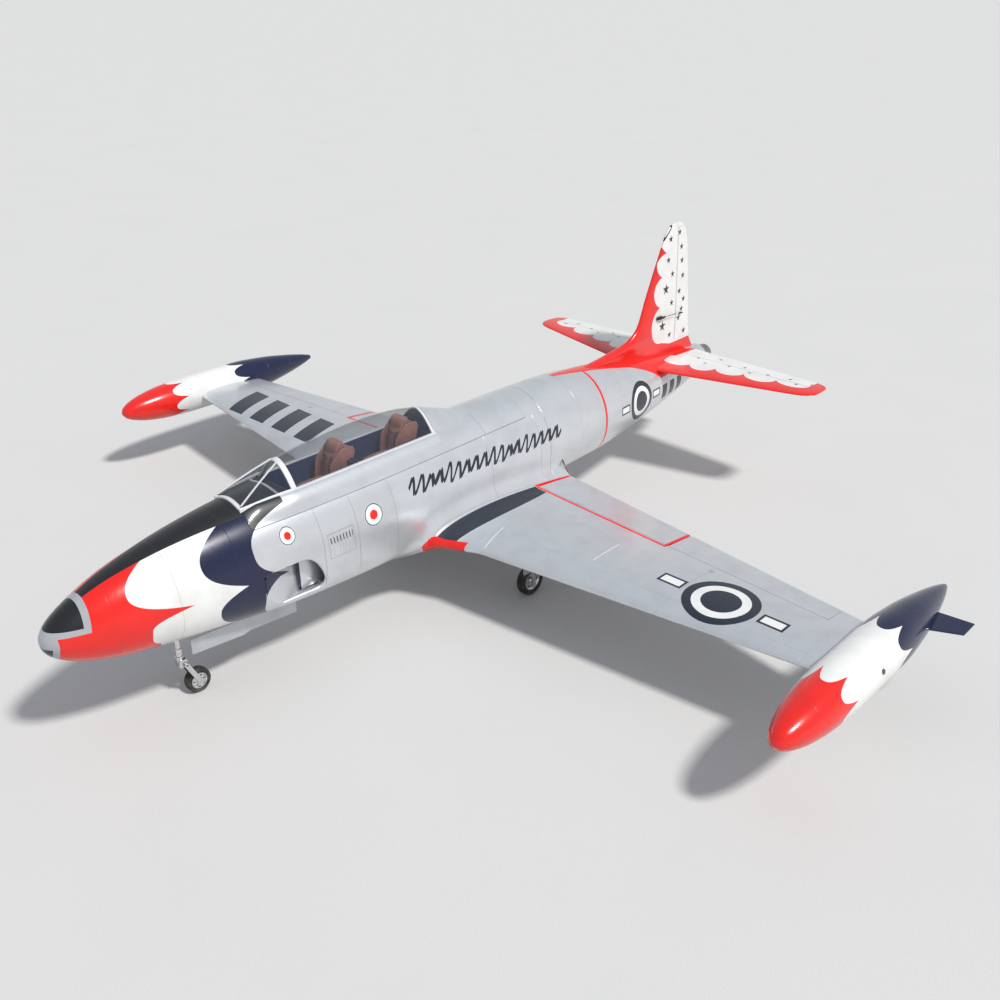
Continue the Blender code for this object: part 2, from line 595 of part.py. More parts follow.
def fin_section(z, steps=7):
    lead, trail, half = (fair(points, z) for points in (FIN_LEAD, FIN_TRAIL, FIN_HALF_THICKNESS))
    spots = [0.5 - 0.5 * math.cos(math.pi * k / (steps - 1)) for k in range(steps)]
    right = [(half * shape(s), lead + (trail - lead) * s, z) for s in spots]
    return right + [(-x, y, z) for x, y, z in right[-2:0:-1]]


def shape(s):
    """Half thickness along the chord, from 0 at the leading edge to a thin trailing edge."""
    return 4.1 * (math.sqrt(s) - s) * (1 - 0.35 * s) + 0.12 * s


def rudder_block(gap, nose):
    """Everything behind the rudder's hinge line; the nose of the block is a V with its point on the line."""
    (z0, y0), (z1, y1) = RUDDER_HINGE
    slope = (y1 - y0) / (z1 - z0)
    rings = []
    for z in (z0 - gap, z1 + gap):
        y = y0 + slope * (z - z0) - gap * 3
        rings.append([(0, y, z), (0.05, y + nose * 0.05, z), (0.05, 2.40, z), (-0.05, 2.40, z),
                      (-0.05, y + nose * 0.05, z)])
    return loft(rings)


FIN_LEVELS = (0.345, 0.380, 0.400, 0.425, 0.440, 0.475, 0.552, 0.640, 0.711, 0.754, 0.768, 0.773)


def make_fin(body_cutter):
    fin = solid("fin", loft([fin_section(z) for z in FIN_LEVELS]), "red_paint")
    boolean(fin, body_cutter)
    boolean(fin, cutter("rudder_bay", rudder_block(0.0008, 0.0)))
    pivot = Vector((0, RUDDER_HINGE[0][1], RUDDER_HINGE[0][0]))
    rudder = solid("rudder", loft([fin_section(z) for z in FIN_LEVELS]), "white_plastic", pivot)
    boolean(rudder, cutter("rudder_keep", rudder_block(0.0, math.tan(math.radians(30)))), "INTERSECT")


def tail_section(x):
    return airfoil(x, line(TAIL_LEAD, x), line(TAIL_TRAIL, x), TAIL_Z, 0.075, camber=0.0)


def elevator_block(grow, lean, x_range):
    rings = []
    top = TAIL_Z + 0.006
    for x in x_range:
        y = ELEVATOR_HINGE_Y - grow
        rings.append([(x, y, 0.45), (x, 2.40, 0.45), (x, 2.40, 0.25), (x, y + lean * (top - 0.25), 0.25),
                      (x, y, top)])
    return loft(rings)


def make_tailplane(side, label, body_cutter):
    panel = [tail_section(x) for x in (TAIL_ROOT_X, 0.25, 0.480, 0.515, TAIL_TIP_X)]
    for ring, pinch in ((3, 0.008), (4, 0.032)):
        middle = sum(p[1] for p in panel[ring]) / len(panel[ring])
        reach = max(abs(p[1] - middle) for p in panel[ring])
        shorter, thinner = 1 - pinch / reach, 1 - 0.4 * pinch / reach
        panel[ring] = [(x, middle + (y - middle) * shorter, TAIL_Z + (z - TAIL_Z) * thinner)
                       for x, y, z in panel[ring]]
    tail = solid("stabilizer_" + label, side_of(loft(panel), side), "red_paint")
    boolean(tail, body_cutter)
    wide = (ELEVATOR_SPAN[0] - 0.0012, ELEVATOR_SPAN[1] + 0.0012)
    boolean(tail, cutter("elevator_bay_" + label, side_of(elevator_block(0.0012, 0.0, wide), side)))
    pivot = Vector((side * ELEVATOR_SPAN[0], ELEVATOR_HINGE_Y, TAIL_Z + 0.006))
    shape_block = loft([tail_section(x) for x in (0.05, 0.25, 0.510)])
    elevator = solid("elevator_" + label, side_of(shape_block, side), "white_plastic", pivot)
    boolean(elevator, cutter("elevator_keep_" + label,
                             side_of(elevator_block(0.0, math.tan(math.radians(23)), ELEVATOR_SPAN), side)),
            "INTERSECT")


# --------------------------------------------------------------------------------------- power and radio

def make_intakes(side, label):
    """A duct from the cheek mouth back and inward to the turbine's plenum."""
    def ring(y, x0, x1, z0, z1):
        cx, cz, hx, hz = (x0 + x1) / 2, (z0 + z1) / 2, (x1 - x0) / 2, (z1 - z0) / 2
        unit = [superellipse(2 * math.pi * k / 12, 3) for k in range(12)]
        return [(cx + hx * across, y, cz + hz * up) for across, up in unit]
    wall = DUCT_WALL
    outer = [ring(*stop) for stop in DUCT]
    inner = [ring(y, x0 + wall, x1 - wall, z0 + wall, z1 - wall) for y, x0, x1, z0, z1 in DUCT]
    ramp = loft([[(low - RAMP_DEPTH, y, RAMP_LOW), (low, y, RAMP_LOW), (high, y, RAMP_HIGH),
                  (high - RAMP_DEPTH, y, RAMP_HIGH)] for y, low, high in RAMP])
    splitter = box((0.0928, 0.545, 0.2014), (0.0953, 0.640, 0.2780))
    duct = loft(outer + inner[::-1], closed=True)
    for piece in (ramp, duct):
        bmesh.ops.triangulate(piece, faces=piece.faces)
    pieces = [side_of(piece, side) for piece in (ramp, duct, splitter)]
    assembled("intake_duct_" + label, pieces, "grey_panel")


def make_engine():
    solid("turbine_casing", turned(CASING_PROFILE, (0, 0, ENGINE_Z), "Y", 20, ring=True), "bright_metal")
    shaft = turned(SHAFT_PROFILE, (0, 0, ENGINE_Z), "Y", 12)
    pitch = Matrix.Rotation(math.radians(28), 3, "Z")
    blades = []
    for k in range(8):
        turn = Matrix.Translation((0, ROTOR_Y, ENGINE_Z)) @ Matrix.Rotation(k * math.pi / 4, 4, "Y")
        blade = box((-0.0011, -0.008, 0.012), (0.0011, 0.008, 0.047))
        bmesh.ops.rotate(blade, cent=(0, 0, 0), matrix=pitch, verts=blade.verts)
        bmesh.ops.transform(blade, matrix=turn, verts=blade.verts)
        blades.append(blade)
    assembled("turbine_rotor", [shaft, *blades], "bright_metal", (0, ROTOR_Y, ENGINE_Z))
    bore = PIPE_RADIUS - PIPE_WALL
    profile = [(PIPE_START, 0.0360), (PIPE_NECK, PIPE_RADIUS), (LENGTH, PIPE_RADIUS), (LENGTH, bore),
               (PIPE_NECK, bore), (PIPE_START, 0.0340)]
    pipe = turned(profile, (0, 0, 0), "Y", 20, ring=True)
    for vertex in pipe.verts:
        vertex.co.z += fair(PIPE_CENTRE, vertex.co.y)
    solid("exhaust_pipe", pipe, "hot_metal")


def make_equipment():
    tray = box((-0.060, 0.600, 0.2080), (0.060, 1.090, 0.2110))
    solid("equipment_tray", tray, "plywood", smooth=False)
    pieces = {
        "fuel_tank": (box((-0.041, 0.860, 0.2113), (0.041, 1.060, 0.300)), "white_plastic"),
        "ecu_battery": (box((-0.034, 0.620, 0.2113), (0.034, 0.730, 0.245)), "battery_wrap"),
        "receiver": (box((-0.026, 0.760, 0.2113), (0.026, 0.810, 0.228)), "black_plastic"),
    }
    for name, (bm, finish) in pieces.items():
        obj = solid(name, bm, finish, smooth=False)
        bevel = obj.modifiers.new("soften", "BEVEL")
        bevel.width = 0.004
        bevel.segments = 1
    slug = loft([fuselage_ring(y, SKIN + 0.0025, 16) for y in (0.098, 0.114, 0.130)])
    solid("nose_ballast", slug, "cast_ballast")
    joiner = rod((0, JOINER_Y, JOINER_Z), JOINER_RADIUS, 2 * JOINER_HALF_SPAN, "X", 16)
    solid("wing_joiner", joiner, "carbon")


def servo(name, x, y, low, side):
    """A servo in its bay with its arm standing down below the skin."""
    case = box((x - 0.0155, y - 0.0075, low + 0.0005), (x + 0.0155, y + 0.0075, low + 0.0120))
    spline = rod((x - 0.007, y, low - 0.0025), 0.0035, 0.007, sides=8)
    arm = box((x - 0.0085, y - 0.002, low - 0.0135), (x - 0.0055, y + 0.002, low - 0.0020))
    assembled(name, [side_of(piece, side) for piece in (case, spline, arm)], "black_plastic")


def make_servos(side, label):
    for name, x, y in SERVOS:
        servo(name + label, x, y, wing_surface_z(x, y, -1), side)


# -------------------------------------------------------------------------------------------------- gear

def tyre(radius, width, rim):
    w = width / 2
    widest = rim + (radius - rim) * 0.45
    half = [(w * 0.4, radius), (w * 0.72, radius * 0.965), (w, widest), (w * 0.75, rim)]
    return [(-along, r) for along, r in half[::-1]] + half


def make_wheel(name, centre, radius, width, bore):
    rim = radius * 0.66
    solid(name + "_tyre", turned(tyre(radius, width, rim), centre, ring=True), "tyre_rubber", centre)
    w = width / 2 * 0.75
    half = [(w, rim - GAP), (w - 0.003, rim * 0.86), (w - 0.003, radius * 0.26), (w + 0.002, radius * 0.22),
            (w + 0.002, bore)]
    hub = [(-along, r) for along, r in half[::-1]] + half
    solid(name + "_hub", turned(hub, centre, ring=True), "bright_metal", centre)


def make_nose_gear():
    y0, y1, half = NOSE_BAY
    well = box((-half + 0.0004, y0 - 0.010, 0.150), (half - 0.0004, y1 - 0.0004, 0.282))
    well = solid("nose_wheel_well", well, "red_paint", smooth=False)
    boolean(well, cutter("nose_well_hollow", box((-half + 0.0019, y0 - 0.0085, 0.10),
                                                 (half - 0.0019, y1 - 0.0019, 0.2805))))
    boolean(well, cutter("nose_well_skin", loft([keel_wedge(y) for y in (0.20, 0.30, 0.40, 0.50, 0.60)])))
    px, py, pz = NOSE_PIVOT
    unit = box((-0.0240, py - 0.0290, pz - 0.014), (0.0240, py + 0.013, pz + 0.016))
    unit = solid("nose_retract_unit", unit, "bright_metal", smooth=False)
    slot = box((-0.0160, py - 0.0150, pz - 0.03), (0.0160, py + 0.03, pz + 0.03))
    boolean(unit, cutter("nose_unit_slot", slot))
    boolean(unit, cutter("nose_unit_bore", rod(NOSE_PIVOT, 0.0042, 0.0440, "X", 12)))
    low = NOSE_LINK_PIVOT.z + 0.022
    leg = [rod(NOSE_PIVOT, 0.0090, 0.0300, "X", 12), rod(NOSE_PIVOT, 0.0040, 0.0420, "X", 12),
           rod((px, py, (pz + low) / 2), 0.0065, pz - low, "Z", 12)]
    assembled("nose_leg", leg, "bright_metal", NOSE_PIVOT)
    link_y, link_z = NOSE_LINK_PIVOT.y, NOSE_LINK_PIVOT.z
    collar = rod((0, py, low - 0.0073), 0.0085, 0.0140, "Z", 12)
    lug = box((-0.0115, py - 0.007, link_z - 0.006), (0.0115, link_y + 0.006, low - 0.008))
    knuckle = assembled("nose_steering_knuckle", [collar, lug], "bright_metal", (px, py, low))
    boolean(knuckle, cutter("knuckle_bore", rod(NOSE_LINK_PIVOT, 0.0033, 0.03, "X", 10)))
    make_link("nose_link", NOSE_LINK_PIVOT, NOSE_AXLE, NOSE_WHEEL_WIDTH / 2, (-1, 1))
    make_wheel("nose", NOSE_AXLE, NOSE_WHEEL_RADIUS, NOSE_WHEEL_WIDTH, 0.0031)
    for side, label in ((1, "left"), (-1, "right")):
        rings = []
        for x in (NOSE_DOOR_X - 0.0009, NOSE_DOOR_X + 0.0009):
            upper = [(x, y, door_hinge_z(y) - 0.0012) for y, _ in NOSE_DOOR_OUTLINE]
            lower = [(x, y, door_hinge_z(y) - depth) for y, depth in NOSE_DOOR_OUTLINE]
            rings.append(upper + lower[::-1])
        y = NOSE_DOOR_OUTLINE[0][0]
        hinge = (side * NOSE_DOOR_X, y, door_hinge_z(y))
        solid("nose_door_" + label, side_of(loft(rings), side), "grey_panel", hinge, smooth=False)


def keel_wedge(y):
    """Everything below the inside of the belly skin at y, used to trim what sits on it."""
    ring = fuselage_ring(y, SKIN + GAP)
    lower = [point for point in ring if point[2] <= fair(WAIST_LINE, y, math.sqrt) + 1e-6]
    lower.sort()
    return lower + [(0.2, y, 0.279), (0.2, y, 0.02), (-0.2, y, 0.02), (-0.2, y, 0.279)]


def door_hinge_z(y):
    return 0.1716 - 0.0700 * (y - NOSE_DOOR_OUTLINE[0][0])


def make_link(name, pivot, axle, wheel_half, sides):
    """A trailing arm from the leg's pivot to the axle, with one plate each side of the wheel or one only."""
    inner, thick = wheel_half + 0.0022, 0.0035
    parts = []
    along = Vector(axle) - Vector(pivot)
    reach = math.hypot(along.y, along.z)
    tilt = math.atan2(along.z, along.y)
    for side in sides:
        low, high = sorted((side * inner, side * (inner + thick)))
        arm = box((low, -0.0055, -0.0055), (high, reach + 0.0060, 0.0055))
        bmesh.ops.rotate(arm, cent=(0, 0, 0), matrix=Matrix.Rotation(tilt, 3, "X"), verts=arm.verts)
        bmesh.ops.translate(arm, vec=pivot, verts=arm.verts)
        parts.append(arm)
    span = (inner + thick)
    start = -span if -1 in sides else -0.0115
    end = span if 1 in sides else 0.0115
    middle = pivot[0] + (start + end) / 2
    parts.append(rod((middle, pivot[1], pivot[2]), 0.0031, end - start, "X", 10))
    axle_start = -span if -1 in sides else -wheel_half - 0.0015
    axle_end = span if 1 in sides else wheel_half + 0.0015
    axle_middle = axle[0] + (axle_start + axle_end) / 2
    parts.append(rod((axle_middle, axle[1], axle[2]), 0.0029, axle_end - axle_start, "X", 10))
    return assembled(name, parts, "bright_metal", pivot)


def make_main_gear(side, label):
    pivot = Vector((side * MAIN_X, MAIN_Y, MAIN_PIVOT_Z))
    unit = box((MAIN_X - 0.016, MAIN_Y - 0.0255, 0.1740), (MAIN_X + 0.050, MAIN_Y + 0.0255, 0.2040))
    unit = solid("main_retract_" + label, side_of(unit, side), "bright_metal", smooth=False)
    slot = box((MAIN_X - 0.05, MAIN_Y - 0.0155, 0.10), (MAIN_X + 0.0120, MAIN_Y + 0.0155, 0.3))
    boolean(unit, cutter("main_slot_" + label, side_of(slot, side)))
    boolean(unit, cutter("main_bore_" + label, rod(pivot, 0.0042, 0.045, "Y", 12)))
    link_y, link_z = MAIN_LINK_PIVOT
    low = link_z + 0.004
    lug = box((pivot.x - 0.0110, link_y - 0.006, link_z - 0.006),
              (pivot.x + 0.0110, MAIN_Y + 0.006, link_z + 0.008))
    leg = [rod(pivot, 0.0095, 0.0290, "Y", 12), rod(pivot, 0.0040, 0.0430, "Y", 12),
           rod((pivot.x, MAIN_Y, (MAIN_PIVOT_Z + low) / 2), 0.0065, MAIN_PIVOT_Z - low, "Z", 12), lug]
    leg = assembled("main_leg_" + label, leg, "bright_metal", pivot)
    link_pivot = Vector((pivot.x, link_y, link_z))
    boolean(leg, cutter("main_link_bore_" + label, rod(link_pivot, 0.0033, 0.04, "X", 10)))
    axle = Vector((pivot.x, MAIN_Y, MAIN_AXLE_Z))
    make_link("main_link_" + label, link_pivot, axle, MAIN_WHEEL_WIDTH / 2, (side,))
    make_wheel("main_wheel_" + label, axle, MAIN_WHEEL_RADIUS, MAIN_WHEEL_WIDTH, 0.0031)
    door = box((MAIN_X + 0.0195, MAIN_Y - 0.048, 0.0800), (MAIN_X + 0.0215, MAIN_Y + 0.048, 0.1720))
    stay = box((MAIN_X + 0.004, MAIN_Y - 0.003, 0.130), (MAIN_X + 0.0200, MAIN_Y + 0.003, 0.136))
    door = [side_of(door, side), side_of(stay, side)]
    door = assembled("main_door_" + label, door, "grey_panel", pivot, smooth=False)
    boolean(door, cutter("door_clamp_" + label, rod((pivot.x, MAIN_Y, 0.133), 0.0068, 0.1, "Z", 12)))


def main():
    global datum
    clear_scene()
    datum = bpy.data.objects.new("airframe_datum", None)
    datum.location = (0, -LENGTH / 2, 0)
    bpy.context.scene.collection.objects.link(datum)
    make_fuselage()
    hatch = make_covers()
    body_cutter = cutter("body", fuselage_body(-GAP))
    make_canopy(hatch, body_cutter)
    make_cockpit()
    for side, label in ((1, "left"), (-1, "right")):
        make_wing(side, label)
        make_wing_surfaces(side, label)
        make_tank(side, label)
        make_tailplane(side, label, body_cutter)
        make_intakes(side, label)
        make_servos(side, label)
        make_main_gear(side, label)
    make_fin(body_cutter)
    make_engine()
    make_equipment()
    make_nose_gear()


main()
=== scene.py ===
import math
from functools import reduce

import bmesh
import bpy
import numpy as np
from mathutils import Matrix, Vector
from mathutils.bvhtree import BVHTree


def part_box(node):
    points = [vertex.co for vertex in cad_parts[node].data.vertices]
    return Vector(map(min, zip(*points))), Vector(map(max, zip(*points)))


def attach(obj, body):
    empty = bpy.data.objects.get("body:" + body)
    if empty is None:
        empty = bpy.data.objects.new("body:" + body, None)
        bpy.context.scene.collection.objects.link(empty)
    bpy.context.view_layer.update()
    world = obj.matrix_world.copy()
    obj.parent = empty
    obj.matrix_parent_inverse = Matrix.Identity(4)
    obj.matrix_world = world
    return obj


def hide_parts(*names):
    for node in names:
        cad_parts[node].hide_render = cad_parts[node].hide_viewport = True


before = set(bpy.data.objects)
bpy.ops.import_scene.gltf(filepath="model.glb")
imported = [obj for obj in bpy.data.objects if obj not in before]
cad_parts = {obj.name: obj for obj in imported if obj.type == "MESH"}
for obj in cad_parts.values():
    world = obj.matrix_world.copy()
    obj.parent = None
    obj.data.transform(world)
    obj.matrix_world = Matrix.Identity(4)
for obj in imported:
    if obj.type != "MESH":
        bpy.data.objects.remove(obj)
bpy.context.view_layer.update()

# Metres, +Z up, the port wing at +X. Shapes are laid out by station, the distance aft of the nose tip, and
# moved into the frame as each piece is made.
NOSE_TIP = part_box("fuselage_front")[0].y
AHEAD = Vector((0, NOSE_TIP, 0))
GAP = 0.0003
SKIN = 0.0025
SIDES = ((1, "left"), (-1, "right"))

# Fuselage lines: (station, value), faired through the square root of the station
HALF_WIDTH = [(0, 0.004), (0.03, 0.041), (0.08, 0.061), (0.16, 0.083), (0.36, 0.112), (0.60, 0.133),
              (0.85, 0.138), (1.15, 0.136), (1.40, 0.131), (1.68, 0.118), (1.90, 0.098), (2.10, 0.072),
              (2.295, 0.044)]
TOP_LINE = [(0, 0.288), (0.03, 0.328), (0.08, 0.355), (0.16, 0.386), (0.36, 0.427), (0.50, 0.440),
            (0.80, 0.446), (1.20, 0.438), (1.50, 0.434), (1.68, 0.418), (1.90, 0.388), (2.10, 0.360),
            (2.295, 0.340)]
KEEL_LINE = [(0, 0.280), (0.03, 0.238), (0.08, 0.212), (0.16, 0.190), (0.36, 0.164), (0.60, 0.152),
             (1.00, 0.150), (1.40, 0.153), (1.68, 0.156), (1.90, 0.180), (2.10, 0.213), (2.295, 0.255)]
WAIST_LINE = [(0, 0.284), (0.16, 0.281), (0.50, 0.279), (1.68, 0.279), (2.10, 0.287), (2.295, 0.297)]
BILGE_POWER = [(0, 2.0), (0.30, 2.1), (0.62, 3.0), (0.85, 3.4), (1.10, 2.8), (1.40, 2.2), (2.295, 2.0)]
BODY_JOINT, BODY_END = 1.400, 2.295
COVER_SEAM_Z = 0.392
HATCH_FRONT, HATCH_REAR, TURBINE_COVER_REAR = 0.459, 1.179, 1.335
COCKPIT_FRONT, COCKPIT_REAR, COCKPIT_HALF_WIDTH = 0.560, 1.030, 0.0565

# Canopy
CANOPY_BASE_Z, CANOPY_HALF_WIDTH, CANOPY_POWER = 0.438, 0.062, 1.75
CANOPY_CREST = [(0.588, 0.491), (0.70, 0.5045), (0.84, 0.512), (0.94, 0.506), (1.030, 0.489)]
FAIRING_CREST = [(1.031, 0.489), (1.08, 0.472), (1.13, 0.455), (1.172, 0.445)]
ARCH, HOOP = (0.588, 0.602), (1.021, 1.030)
SCREEN_FRONT, SCREEN_HALF_WIDTH, SCREEN_LOW = 0.463, 0.046, 0.4405
SCREEN_PANEL_TOP, SCREEN_SILL, SCREEN_DIP, RAIL_FOOT_Z, GLASS = 0.012, 0.4345, 0.008, 0.415, 0.0016

# Wing: edges and chord plane as a + b * x
WING_LEAD, WING_TRAIL, WING_PLANE = (0.943, 0.112), (1.483, -0.165), (0.186, 0.020)
WING_ROOT_X, WING_TIP_X, WING_THICKNESS = 0.150, 1.160, 0.118
FLAP_SPAN, AILERON_SPAN, HINGE_LINE = (0.156, 0.612), (0.617, 1.062), (1.336, -0.087)
FILLET_X, FILLET_REACH = (0.085, 0.125, 0.150, 0.200, 0.265), (0.110, 0.062, 0.036, 0.020, 0.0)
FILLET_RISE, FILLET_FAT = (0.004, 0.002, 0.0, 0.0, 0.0), (1.30, 1.14, 1.0, 1.0, 1.0)
FILLET_BLEND, FILLET_END_X, FILLET_START, FILLET_END = 0.055, 0.210, 0.84, 1.462
EDGE_HALF_THICKNESS = 0.0009
JOINER_Y, JOINER_Z, JOINER_BORE = 1.225, 0.192, 0.0093

# Wheels: where the legs hang, and (radius, width)
MAIN_X, MAIN_Y, MAIN_PIVOT_Z = 0.281, 1.147, 0.188
NOSE_WHEEL, MAIN_WHEEL, RIM_SHARE = (0.030, 0.026), (0.042, 0.026), 0.66

# Tip tanks, tail and jet pipe
TANK_X, TANK_Z = 1.185, 0.210
TANK_PROFILE = [(0.810, 0.004), (0.820, 0.018), (0.845, 0.031), (0.890, 0.044), (0.960, 0.054),
                (1.060, 0.0585), (1.240, 0.0585), (1.350, 0.050), (1.450, 0.034), (1.530, 0.016),
                (1.561, 0.006)]
FIN_LEAD = [(0.345, 1.50), (0.400, 1.56), (0.425, 1.80), (0.440, 1.900), (0.475, 1.953),
            (0.552, 1.986), (0.711, 2.060), (0.754, 2.083), (0.768, 2.105), (0.773, 2.125)]
FIN_TRAIL = [(0.345, 2.262), (0.387, 2.238), (0.552, 2.217), (0.704, 2.196), (0.746, 2.182), (0.768, 2.158),
             (0.773, 2.140)]
FIN_HALF_THICKNESS = [(0.345, 0.017), (0.400, 0.016), (0.440, 0.013), (0.475, 0.0115), (0.773, 0.006)]
RUDDER_HINGE = ((0.392, 2.152), (0.756, 2.138))
TAIL_LEAD, TAIL_TRAIL, TAIL_Z = (1.960, 0.250), (2.231, -0.040), 0.345
TAIL_ROOT_X, TAIL_TIP_X = 0.0185, 0.536
ELEVATOR_HINGE_Y, ELEVATOR_SPAN = 2.158, (0.062, 0.492)
PIPE_RADIUS, PIPE_END = 0.030, 2.345


# ---------------------------------------------------------------------------------------------- curves

def line(pair, x):
    return pair[0] + pair[1] * x


def fair(points, at, warp=lambda value: value):
    """A smooth curve through (place, value) points that doesn't overshoot them."""
    xs = [warp(place) for place, _ in points]
    ys = [value for _, value in points]
    x = min(max(warp(at), xs[0]), xs[-1])
    steps = [b - a for a, b in zip(xs, xs[1:])]
    slopes = [(d - c) / step for c, d, step in zip(ys, ys[1:], steps)]
    tangents = [slopes[0]]
    for before, after in zip(slopes, slopes[1:]):
        tangents.append(0 if before * after <= 0 else 2 * before * after / (before + after))
    tangents.append(slopes[-1])
    k = max(i for i in range(len(steps)) if i == 0 or xs[i] <= x)
    t = (x - xs[k]) / steps[k]
    return ((2 * t**3 - 3 * t**2 + 1) * ys[k] + (t**3 - 2 * t**2 + t) * steps[k] * tangents[k]
            + (3 * t**2 - 2 * t**3) * ys[k + 1] + (t**3 - t**2) * steps[k] * tangents[k + 1])


def body_lines(y):
    return [fair(points, y, math.sqrt) for points in (HALF_WIDTH, TOP_LINE, KEEL_LINE, WAIST_LINE, BILGE_POWER)]


def stations(start, end, step, extra=()):
    """Evenly spaced stations with the given ones among them."""
    count = max(2, round((end - start) / step) + 1)
    found = sorted(set(np.linspace(start, end, count).round(5)) | {s for s in extra if start < s < end})
    return [s for k, s in enumerate(found) if k == 0 or s - found[k - 1] > 1e-4]


def airfoil_half(s, ratio, chord):
    """Half the thickness of a four-digit section at shares of its chord, with a blunt trailing edge."""
    shape = 0.2969 * np.sqrt(s) - 0.1260 * s - 0.3516 * s**2 + 0.2843 * s**3 - 0.0936 * s**4
    return 5 * ratio * chord * shape + EDGE_HALF_THICKNESS * s


def wing_distance(x, y, z):
    """Roughly how far points are outside the wing and its root fillet, which reaches inboard to the fuselage."""
    ax = np.abs(x)
    lead = line(WING_LEAD, ax) - np.interp(ax, FILLET_X, FILLET_REACH)
    trail = line(WING_TRAIL, ax)
    chord = trail - lead
    s = np.clip((y - lead) / chord, 0, 1)
    ratio = WING_THICKNESS * np.interp(ax, FILLET_X, FILLET_FAT)
    middle = line(WING_PLANE, ax) + np.interp(ax, FILLET_X, FILLET_RISE) + 0.12 * ratio * chord * 2 * s * (1 - s)
    across = np.abs(z - middle) - airfoil_half(s, ratio, chord)
    along = np.maximum(lead - y, y - trail)
    return np.where(along > 0, np.hypot(np.maximum(along, 0), np.maximum(across, 0)), across)


def body_distance(x, y, z, inset):
    half, top, keel, waist, power = body_lines(y)
    upper = z >= waist
    height = np.where(upper, top - waist, waist - keel) - inset
    q = np.where(upper, 2.0, power)
    n = (np.abs(x / (half - inset)) ** q + np.abs((z - waist) / height) ** q) ** (1 / q)
    return np.hypot(x, z - waist) * (1 - 1 / np.maximum(n, 1e-6))


def outline_radius(y, angles, inset=0.0):
    """Distance from the waist centre out to the fuselage with its wing fillets, at one station."""
    waist = body_lines(y)[3]
    radii = np.linspace(0.0005, 0.24, 160)[None, :]
    c, s = np.cos(angles)[:, None], np.sin(angles)[:, None]

    def outside(r):
        x, z = r * c, waist + r * s
        a, b = body_distance(x, y, z, inset), wing_distance(x, y, z) + inset
        near = np.maximum(FILLET_BLEND - np.abs(a - b), 0) / FILLET_BLEND
        joined = np.minimum(a, b) - near**2 * FILLET_BLEND / 4
        return np.maximum(joined, np.abs(x) - WING_ROOT_X + GAP / 2 + inset)

    inside = outside(radii) < 0
    last = inside.shape[1] - 1 - np.argmax(inside[:, ::-1], axis=1)
    low = radii[0, last][:, None]
    high = radii[0, np.minimum(last + 1, radii.shape[1] - 1)][:, None]
    for _ in range(18):
        middle = (low + high) / 2
        hit = outside(middle) < 0
        low, high = np.where(hit, middle, low), np.where(hit, high, middle)
    return low[:, 0]


FACE_POINTS, LOWER_POINTS, UPPER_POINTS = 4, 26, 34


def body_ring(y, inset=0.0):
    """One section of the fuselage. The flat ends of the wing roots keep crisp corners of their own."""
    half, top, keel, waist, power = body_lines(y)
    filleted = FILLET_START < y < FILLET_END
    first, last = math.radians(-38), math.radians(-37)
    if filleted:
        fine = np.radians(np.linspace(-89, 60, 600))
        r = outline_radius(y, fine, inset)
        flat = np.abs(r * np.cos(fine) - (WING_ROOT_X - GAP / 2 - inset)) < 2e-5
        first, last = (fine[flat][0], fine[flat][-1]) if flat.any() else (first, first)
    angles = np.concatenate([np.linspace(-math.pi / 2, first, LOWER_POINTS),
                             np.linspace(first, last, FACE_POINTS + 2)[1:-1],
                             np.linspace(last, math.pi / 2, UPPER_POINTS)])
    if filleted:
        radii = outline_radius(y, angles, inset)
    else:
        c, s = np.abs(np.cos(angles)), np.sin(angles)
        up = s >= 0
        q = np.where(up, 2.0, power)
        height = np.where(up, top - waist, waist - keel) - inset
        radii = ((c / (half - inset)) ** q + (np.abs(s) / height) ** q) ** (-1 / q)
    port = np.stack([radii * np.cos(angles), np.full(len(angles), y), waist + radii * np.sin(angles)], axis=1)
    port[0, 0] = port[-1, 0] = 0
    starboard = port[-2:0:-1] * np.array([-1, 1, 1])
    return np.concatenate([port, starboard])


def cover_ring(y, inset, count=48):
    """The part of a section above the cover seam, from port to starboard."""
    half, top, _, waist, _ = body_lines(y)
    rise = (COVER_SEAM_Z + GAP - waist) / (top - waist - inset)
    start = math.asin(min(rise, 1.0))
    angles = np.linspace(start, math.pi - start, count)
    return np.stack([(half - inset) * np.cos(angles), np.full(count, y),
                     waist + (top - waist - inset) * np.sin(angles)], axis=1)


# ---------------------------------------------------------------------------------------------- shapes

def loft(rings, closed=False):
    """(points, faces) through rings of equal counts, with a cap on each end unless it closes on itself."""
    rings = [np.asarray(ring, float) for ring in rings]
    rows, count = len(rings), len(rings[0])
    faces = []
    for i in range(rows if closed else rows - 1):
        a, b = i * count, ((i + 1) % rows) * count
        for k in range(count):
            n = (k + 1) % count
            faces.append((a + k, a + n, b + n, b + k))
    if not closed:
        faces += [tuple(range(count))[::-1], tuple(range((rows - 1) * count, rows * count))]
    return np.concatenate(rings), faces


def merged(*shapes):
    points, faces, start = [], [], 0
    for p, f in shapes:
        points.append(np.asarray(p, float))
        faces += [tuple(v + start for v in face) for face in f]
        start += len(p)
    return np.concatenate(points), faces


def on_side(shape, side):
    """A shape laid out to port, or its mirror image to starboard."""
    points, faces = shape
    return shape if side > 0 else (points * np.array([-1, 1, 1]), [face[::-1] for face in faces])


def block(low, high, bevel=0.0):
    """A box between two corners, with rounded edges if asked."""
    bm = bmesh.new()
    size, centre = Vector(high) - Vector(low), (Vector(high) + Vector(low)) / 2
    bmesh.ops.create_cube(bm, size=1, matrix=Matrix.Translation(centre) @ Matrix.Diagonal((*size, 1)))
    if bevel:
        bmesh.ops.bevel(bm, geom=bm.edges[:], offset=bevel, segments=2, profile=0.5, affect="EDGES")
    return taken(bm)


